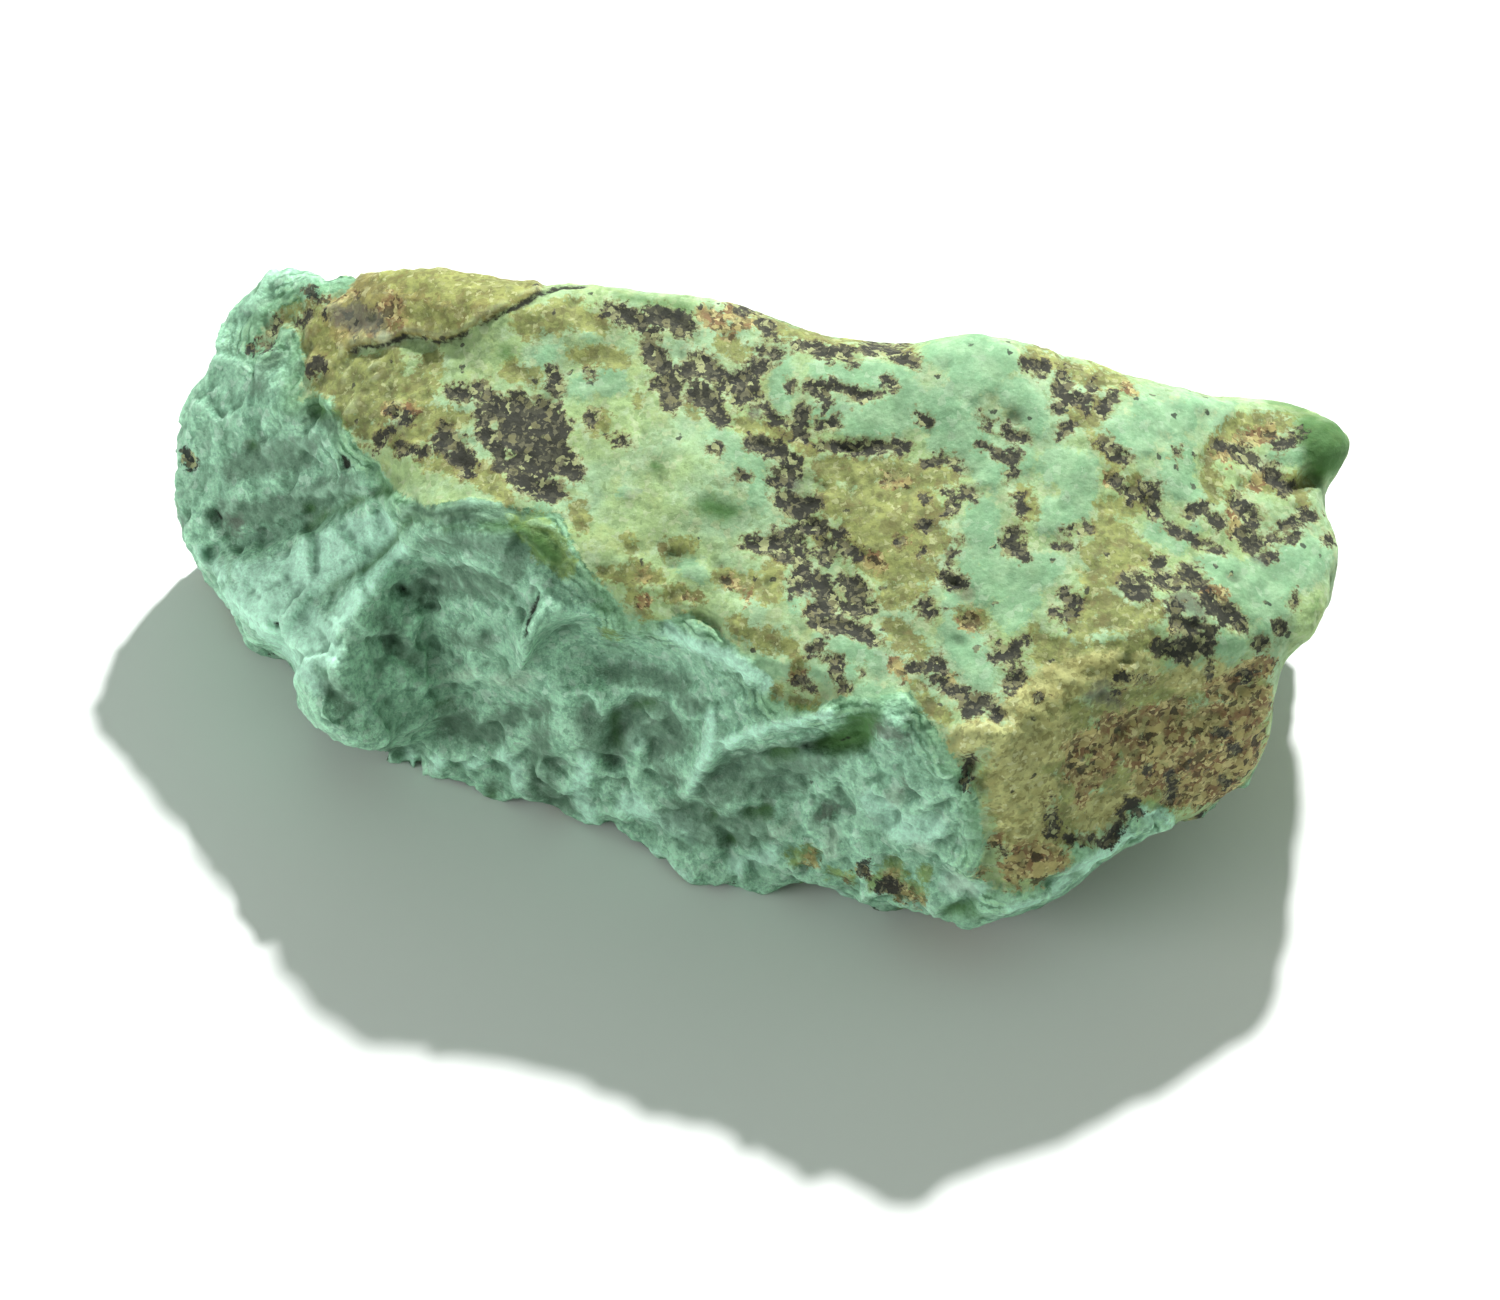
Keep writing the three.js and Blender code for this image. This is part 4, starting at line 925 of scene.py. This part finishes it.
class Shader(Nodes):
    """The nodes of one material, in millimetres. A colour is a socket or 0-255 screen values."""

    def __init__(self, name):
        self.material = bpy.data.materials.new(name)
        self.material.use_nodes = True
        super().__init__(self.material.node_tree)
        where = self.add("TexCoord", {})["Object"]
        self.place = self.vector("DIVIDE", where, (MM, MM, MM))
        warp = self.add("TexNoise", {"Vector": self.place, "Scale": 3.0})["Color"]
        self.warped = self.vector("ADD", self.place, self.vector("MULTIPLY", warp, (0.5, 0.5, 0.5)))

    def noise(self, size, detail=3.0, roughness=0.55, shift=0.0, stretch=(1, 1, 1)):
        """Noise from 0 to 1 with swells the given size across."""
        place = self.vector("MULTIPLY", self.place, stretch)
        moved = self.vector("ADD", place, (shift, shift * 1.7, shift * 2.3))
        inputs = {"Vector": moved, "Scale": 1 / size, "Detail": detail, "Roughness": roughness}
        return self.add("TexNoise", inputs)["Fac"]

    def cells(self, size, shift=0.0):
        """Ragged grains: the distance from the middle of each, and a number from 0 to 1 of its own."""
        moved = self.vector("ADD", self.warped, (shift, shift, shift))
        grains = self.add("TexVoronoi", {"Vector": moved, "Scale": 1 / size})
        return grains["Distance"], self.add("SeparateColor", {0: grains["Color"]})[0]

    def mix(self, share, one, other):
        one, other = (colour if is_socket(colour) else srgb(*colour) for colour in (one, other))
        return self.add("Mix", {0: share, 6: one, 7: other}, data_type="RGBA")[2]

    def shaded(self, colour, value, low, high, dark, light):
        """A colour times a grey that goes from dark to light as the value goes from low to high."""
        return self.vector("MULTIPLY", colour, self.ramp(value, low, high, dark, light))

    def tinted(self, colour, *tints):
        """A colour under tints, each with a value, where that starts and is full, a strength and a colour."""
        for value, start, full, strength, tone in tints:
            colour = self.mix(self.ramp(value, start, full, 0, strength), colour, tone)
        return colour

    def speckled(self, colour, size, shift, *specks):
        """A colour with grains of others: each with a colour, the share of grains from it on, a strength."""
        _, number = self.cells(size, shift)
        for tone, share, strength in specks:
            start = 1 - share
            colour = self.tinted(colour, (number, start - 0.02, start + 0.02, strength, tone))
        return colour

    def finish(self, inputs):
        """The material, once its surface has the given inputs."""
        for name, value in inputs.items():
            self.feed(self.tree.nodes["Principled BSDF"].inputs[name], value)
        return self.material


class StoneShader(Shader):
    """A shader that knows the stone's patches, with wavering noises that fray and fleck their edges."""

    def __init__(self):
        super().__init__("chrysoprase")
        self.fray = self.math("SUBTRACT", self.noise(0.9, 6, 0.65, 19), 0.5)
        self.fleck = self.math("SUBTRACT", self.noise(0.3, 4, 0.7, 23), 0.5)

    def patch(self, kind, edge, strength, frays=1.2, flecks=0.8, most=1.0, grow=0.0):
        """How far a kind of patch covers: its depth counts up to most, and its edge is moved out by grow."""
        depth = self.math("ADD", self.math("MINIMUM", self.attribute(kind), most), grow)
        depth = self.plus(self.plus(depth, frays, self.fray), flecks, self.fleck)
        return self.ramp(depth, -edge, edge, 0, strength)

    def patched(self, colour, *patches):
        """A colour under patches, each with its kind, its colour and what patch takes."""
        for kind, tone, *cover in patches:
            colour = self.mix(self.patch(kind, *cover), colour, tone)
        return colour


# ---------------------------------------------------------------- colours of the stone

def rind_colour(shader):
    """The pale green rind."""
    broad = shader.noise(4.5, 4)
    mottle = shader.noise(1.4, 5, 0.6, 3)
    cloud = shader.noise(0.9, 5, 0.65, 5)
    grain = shader.noise(0.22, 4, 0.7, 7)
    colour = shader.mix(shader.ramp(broad, 0.4, 0.6), (158, 184, 126), (156, 188, 146))
    colour = shader.tinted(
        colour, (mottle, 0.5, 0.7, 0.6, (168, 180, 118)), (cloud, 0.5, 0.68, 0.7, (180, 202, 164)),
        (grain, 0.52, 0.7, 0.4, (186, 206, 166)), (grain, 0.46, 0.3, 0.45, (116, 146, 100)))
    return shader.speckled(colour, 0.3, 1, ((126, 150, 100), 0.25, 0.5), ((186, 202, 158), 0.12, 0.6))


def mint_colour(shader):
    """Blue-green mint, where the rind has worn thin."""
    mottle = shader.noise(1.2, 5, 0.6, 31)
    grain = shader.noise(0.2, 4, 0.7, 33)
    colour = shader.mix(shader.ramp(mottle, 0.4, 0.62), (126, 170, 130), (148, 186, 146))
    colour = shader.tinted(
        colour, (grain, 0.55, 0.72, 0.4, (174, 202, 172)), (grain, 0.45, 0.3, 0.4, (102, 142, 108)))
    return shader.speckled(colour, 0.4, 2, ((122, 162, 122), 0.25, 0.5), ((174, 202, 170), 0.1, 0.5))


def olive_colour(shader):
    """Sandy olive and yellow-olive stain."""
    mottle = shader.noise(1.0, 5, 0.65, 37)
    colour = shader.mix(shader.ramp(mottle, 0.4, 0.6), (128, 135, 77), (157, 162, 95))
    colour = shader.tinted(colour, (mottle, 0.46, 0.34, 0.7, (124, 110, 66)))
    colour = shader.speckled(colour, 0.2, 4, ((108, 106, 66), 0.35, 0.5), ((158, 162, 104), 0.2, 0.6),
                             ((186, 190, 138), 0.08, 0.7))
    return shader.speckled(colour, 0.5, 14, ((112, 104, 62), 0.2, 0.5))


def sand_and_painted_light_colour(shader):
    """Light sandy crust, lightened further as painted light for the lower right face."""
    mottle = shader.noise(0.9, 5, 0.65, 61)
    colour = shader.mix(shader.ramp(mottle, 0.4, 0.6), (172, 168, 108), (198, 198, 134))
    return shader.speckled(colour, 0.22, 16, ((122, 116, 68), 0.36, 0.6), ((176, 182, 122), 0.14, 0.6),
                           ((220, 220, 168), 0.07, 0.7))


def crust_colour(shader):
    """Yellowish-brown crust of the upper left edge."""
    mottle = shader.noise(1.1, 5, 0.65, 47)
    colour = shader.mix(shader.ramp(mottle, 0.4, 0.6), (120, 110, 62), (152, 145, 84))
    return shader.speckled(colour, 0.24, 8, ((96, 88, 56), 0.35, 0.5), ((150, 146, 96), 0.2, 0.6),
                           ((178, 174, 128), 0.08, 0.7))


def brown_colour(shader):
    """Rust-brown crust full of ochre and dark grains."""
    mottle = shader.noise(0.8, 5, 0.65, 41)
    colour = shader.mix(shader.ramp(mottle, 0.4, 0.6), (158, 148, 96), (132, 100, 68))
    colour = shader.tinted(colour, (mottle, 0.47, 0.33, 0.8, (182, 180, 122)))
    colour = shader.speckled(colour, 0.2, 10, ((74, 56, 36), 0.34, 0.85), ((206, 194, 136), 0.16, 0.9))
    return shader.speckled(colour, 0.42, 5, ((46, 36, 24), 0.26, 0.85), ((186, 172, 112), 0.16, 0.85))


def black_colour(shader):
    """Dark manganese crust with grey and brownish grains."""
    colour = shader.speckled((46, 47, 43), 0.34, 6, ((76, 76, 62), 0.4, 0.7), ((122, 120, 86), 0.2, 0.85),
                             ((168, 174, 126), 0.08, 0.9))
    return shader.speckled(colour, 0.17, 12, ((30, 31, 28), 0.25, 0.7), ((118, 116, 92), 0.14, 0.7))


def break_colour(shader):
    """The blue-green inside of the stone."""
    broad = shader.noise(3.5, 4, 0.5, 11)
    mottle = shader.noise(0.9, 5, 0.65, 13)
    streak = shader.noise(0.5, 4, 0.6, 15, stretch=(1, 1, 0.4))
    grain = shader.noise(0.18, 4, 0.65, 17)
    colour = shader.mix(shader.ramp(broad, 0.4, 0.6), (154, 205, 172), (168, 219, 186))
    colour = shader.tinted(
        colour, (mottle, 0.5, 0.68, 0.6, (180, 224, 194)), (mottle, 0.49, 0.35, 0.65, (112, 156, 132)),
        (streak, 0.48, 0.36, 0.5, (106, 150, 122)), (grain, 0.54, 0.7, 0.45, (190, 226, 200)),
        (grain, 0.46, 0.32, 0.5, (108, 148, 124)))
    return shader.speckled(colour, 0.36, 18, ((108, 154, 126), 0.22, 0.5), ((200, 236, 212), 0.12, 0.6))


def layered_edge(shader, colour):
    """Thin light and dark layers of the break, side by side with the rind's edge, and painted shade in darker
    green along that edge.
    """
    depth = shader.attribute("rind")
    bent = shader.plus(depth, 1.6, shader.noise(1.6, 4, 0.6, 53))
    wave = shader.math("SINE", shader.math("MULTIPLY", bent, 13.0))
    here_and_there = shader.ramp(shader.noise(2.2, 3, 0.5, 55), 0.35, 0.6)
    near = shader.math("MULTIPLY", shader.ramp(depth, -2.4, -0.5), here_and_there)
    light = shader.math("MULTIPLY", near, shader.ramp(wave, 0.1, 0.9, 0, 0.5))
    dark = shader.math("MULTIPLY", near, shader.ramp(wave, -0.2, -0.9, 0, 0.8))
    # painted shade: darker green along the rind's edge, where the edge would shade the break
    colour = shader.tinted(colour, (depth, -1.3, -0.2, 0.6, (116, 162, 112)))
    return shader.mix(dark, shader.mix(light, colour, (176, 222, 176)), (64, 110, 70))


def rind_surface(shader, olive, brown):
    """The rind with its stains, and painted light and shade from its own relief."""
    colour = shader.patched(
        rind_colour(shader),
        ("mint", mint_colour(shader), 0.2, 0.85, 1.8, 1.2, 0.5),
        ("crust", crust_colour(shader), 0.15, 0.95, 0.6, 0.6),
        ("olive", olive, 0.14, 0.92, 1.8, 1.6, 0.4),
        # sand patches: partly the crust's own light colour, partly painted light on the lower right face
        ("sand_and_light", sand_and_painted_light_colour(shader), 0.25, 0.88, 1.6, 1.4, 0.5),
        ("black", (136, 124, 76), 0.15, 0.75, 1.4, 1.6, 0.3, 0.22),
        ("brown", brown, 0.12, 0.95, 1.6, 1.6, 0.4, 0.1),
        ("chalk", (182, 188, 152), 0.25, 0.7))
    # painted highlights on raised grains and painted shade in the hollows and broad dips of the relief
    proud = shader.attribute("proud")
    colour = shader.tinted(
        colour, (proud, 0.02, 0.15, 0.25, (190, 210, 176)), (proud, 0, -0.15, 0.38, (84, 104, 74)))
    colour = shader.shaded(colour, shader.attribute("bulge"), -0.45, 0.35, 0.55, 1.2)
    return shader.shaded(colour, shader.noise(0.28, 6, 0.75, 58), 0.32, 0.68, 0.92, 1.07)


def break_surface(shader, olive, brown):
    """The broken face with its pale and dim parts, partly painted light and shade, moss, and painted light
    and shade from its own relief.
    """
    colour = shader.patched(
        layered_edge(shader, break_colour(shader)),
        # the pale and dim patches are partly the stone's own tone, partly painted light and painted shade
        ("pale", (194, 244, 218), 0.3, 0.85, 1.2, 0.8, 0.5),
        ("dim", (92, 120, 99), 0.35, 0.72, 1.4, 1.0, 0.5),
        ("chalk", (190, 214, 190), 0.3, 0.5),
        ("olive", shader.mix(0.5, olive, (112, 160, 78)), 0.2, 0.85, 1.4, 1.2, 0.4),
        ("brown", brown, 0.15, 0.85, 1.4, 1.2, 0.4))
    # painted highlights on raised grains and crests, and painted shade in hollows, from the relief's height
    proud = shader.attribute("proud")
    colour = shader.tinted(
        colour, (proud, 0.01, 0.12, 0.26, (180, 224, 196)), (proud, 0, -0.12, 0.46, (80, 122, 94)))
    colour = shader.shaded(colour, shader.attribute("bulge"), -0.5, 0.35, 0.6, 1.15)
    return shader.shaded(colour, shader.noise(0.28, 6, 0.75, 57), 0.32, 0.68, 0.83, 1.14)


def small_dots(shader):
    """Where the scattered black dots of the rind are."""
    gap, number = shader.cells(0.9, 9)
    dots = shader.math("MULTIPLY", shader.ramp(gap, 0.22, 0.16), shader.ramp(number, 0.8, 0.82, 0, 0.85))
    return shader.math("MULTIPLY", dots, shader.ramp(shader.attribute("rind"), 0.0, 0.3))


def fine_grain(shader, edge):
    """Grain too small for the mesh, stronger on the break than on the rind."""
    pits, _ = shader.cells(0.32, 11)
    height = shader.plus(shader.noise(0.35, 6, 0.7, 29), 0.4, pits)
    strength = shader.ramp(edge, -0.1, 0.1, 0.75, 0.36)
    return shader.add("Bump", {"Strength": strength, "Distance": 0.18 * MM, "Height": height})[0]


def stone_material():
    shader = StoneShader()
    olive, brown, black = olive_colour(shader), brown_colour(shader), black_colour(shader)
    edge = shader.plus(shader.attribute("rind"), 0.8, shader.fleck)
    rind, inner = rind_surface(shader, olive, brown), break_surface(shader, olive, brown)
    colour = shader.mix(shader.ramp(edge, -0.1, 0.1), inner, rind)
    greenness = shader.plus(shader.attribute("green"), 0.9, shader.fray)
    colour = shader.tinted(colour, (greenness, -0.3, 0.7, 0.9, (70, 114, 54)))
    colour = shader.patched(colour, ("slate", (96, 100, 90), 0.35, 0.7, 1.4, 1.2),
                            ("black", black, 0.1, 0.95, 1.6, 1.3, 0.4, 0.12))
    colour = shader.mix(small_dots(shader), colour, black)
    # splits and cracks in near black: partly painted shadow under the crust's edge and inside the cracks
    colour = shader.patched(colour, ("split", (30, 32, 24), 0.06, 0.95, 0.2, 0.3))
    colour = shader.shaded(colour, shader.noise(1.3, 5, 0.65, 59), 0.35, 0.65, 0.86, 1.12)
    # painted shade on the sides the camera doesn't see, which face the key lamp
    colour = shader.shaded(colour, shader.attribute("hidden"), 0, 1, 1, HIDDEN_PAINTED_SHADE)
    grain = fine_grain(shader, edge)
    return shader.finish({"Base Color": colour, "Normal": grain,
                          "Roughness": 0.8, "Specular IOR Level": 0.35})


def floor_material():
    shader = Shader("floor")
    tone = shader.mix(shader.noise(30.0), (238, 240, 238), (242, 243, 242))
    return shader.finish({"Base Color": tone, "Roughness": 1.0, "Specular IOR Level": 0.0})


# ---------------------------------------------------------------- pieces and scene

def make_stone():
    mesh = modified(joined(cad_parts["stone"].data), "SUBSURF", levels=1)
    mesh = remeshed(mesh, ROUGH_VOXEL)
    blend_knobs(mesh)
    carve_facets(mesh)
    mesh = remeshed(mesh, FINE_VOXEL)
    hidden = shape_stone(mesh)
    triangles = 2 * len(mesh.polygons)
    if triangles > MOST_TRIANGLES:
        mesh = modified(mesh, "DECIMATE", weights=hidden, ratio=MOST_TRIANGLES / triangles)
    mesh.name = "stone_surface"
    mesh.polygons.foreach_set("use_smooth", [True] * len(mesh.polygons))
    mesh.materials.clear()
    mesh.materials.append(stone_material())
    stone = new_object("stone_surface", mesh)
    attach(stone, "root")
    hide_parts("stone")


def make_floor():
    mesh = bpy.data.meshes.new("floor")
    corners = [(FLOOR_HALF * x, FLOOR_HALF * y, 0) for x, y in ((-1, -1), (1, -1), (1, 1), (-1, 1))]
    mesh.from_pydata(corners, [], [(0, 1, 2, 3)])
    mesh.materials.append(floor_material())
    floor = new_object("floor", mesh)


def make_lamp(name, place, width, power):
    lamp = bpy.data.lights.new(name, "AREA")
    lamp.shape = "DISK"
    lamp.size = width * MM
    lamp.energy = power
    holder = new_object(name, lamp)
    holder.location = Vector(place) * MM
    holder.rotation_euler = Vector(place).to_track_quat("Z", "Y").to_euler()


def make_sky():
    """A pale sky, brighter to the right of the stone and behind it."""
    world = bpy.data.worlds.new("sky")
    world.use_nodes = True
    nodes = Nodes(world.node_tree)
    direction = nodes.add("SeparateXYZ", {0: nodes.add("TexCoord", {})["Generated"]})
    strength = SKY_STRENGTH
    for axis, lean in zip("XY", SKY_LEAN):
        strength = nodes.plus(strength, lean, direction[axis])
    background = nodes.tree.nodes["Background"].inputs
    nodes.feed(background["Color"], (*SKY_TINT, 1))
    nodes.feed(background["Strength"], strength)
    bpy.context.scene.world = world


def make_camera():
    lens = bpy.data.cameras.new("camera")
    lens.sensor_width = SENSOR
    lens.lens = SENSOR * CAMERA_DISTANCE / FIELD_WIDTH
    camera = new_object("camera", lens)
    camera.rotation_euler = (math.pi / 2 - LEAN, 0, 0)
    u, v, height = CAMERA_AIM
    camera.location = from_map(u, v, height + CAMERA_DISTANCE) * MM
    bpy.context.scene.camera = camera


make_stone()
make_floor()
make_lamp("key", *KEY_LAMP)
make_lamp("fill", *FILL_LAMP)
make_sky()
make_camera()
bpy.context.scene.view_settings.view_transform = "Standard"
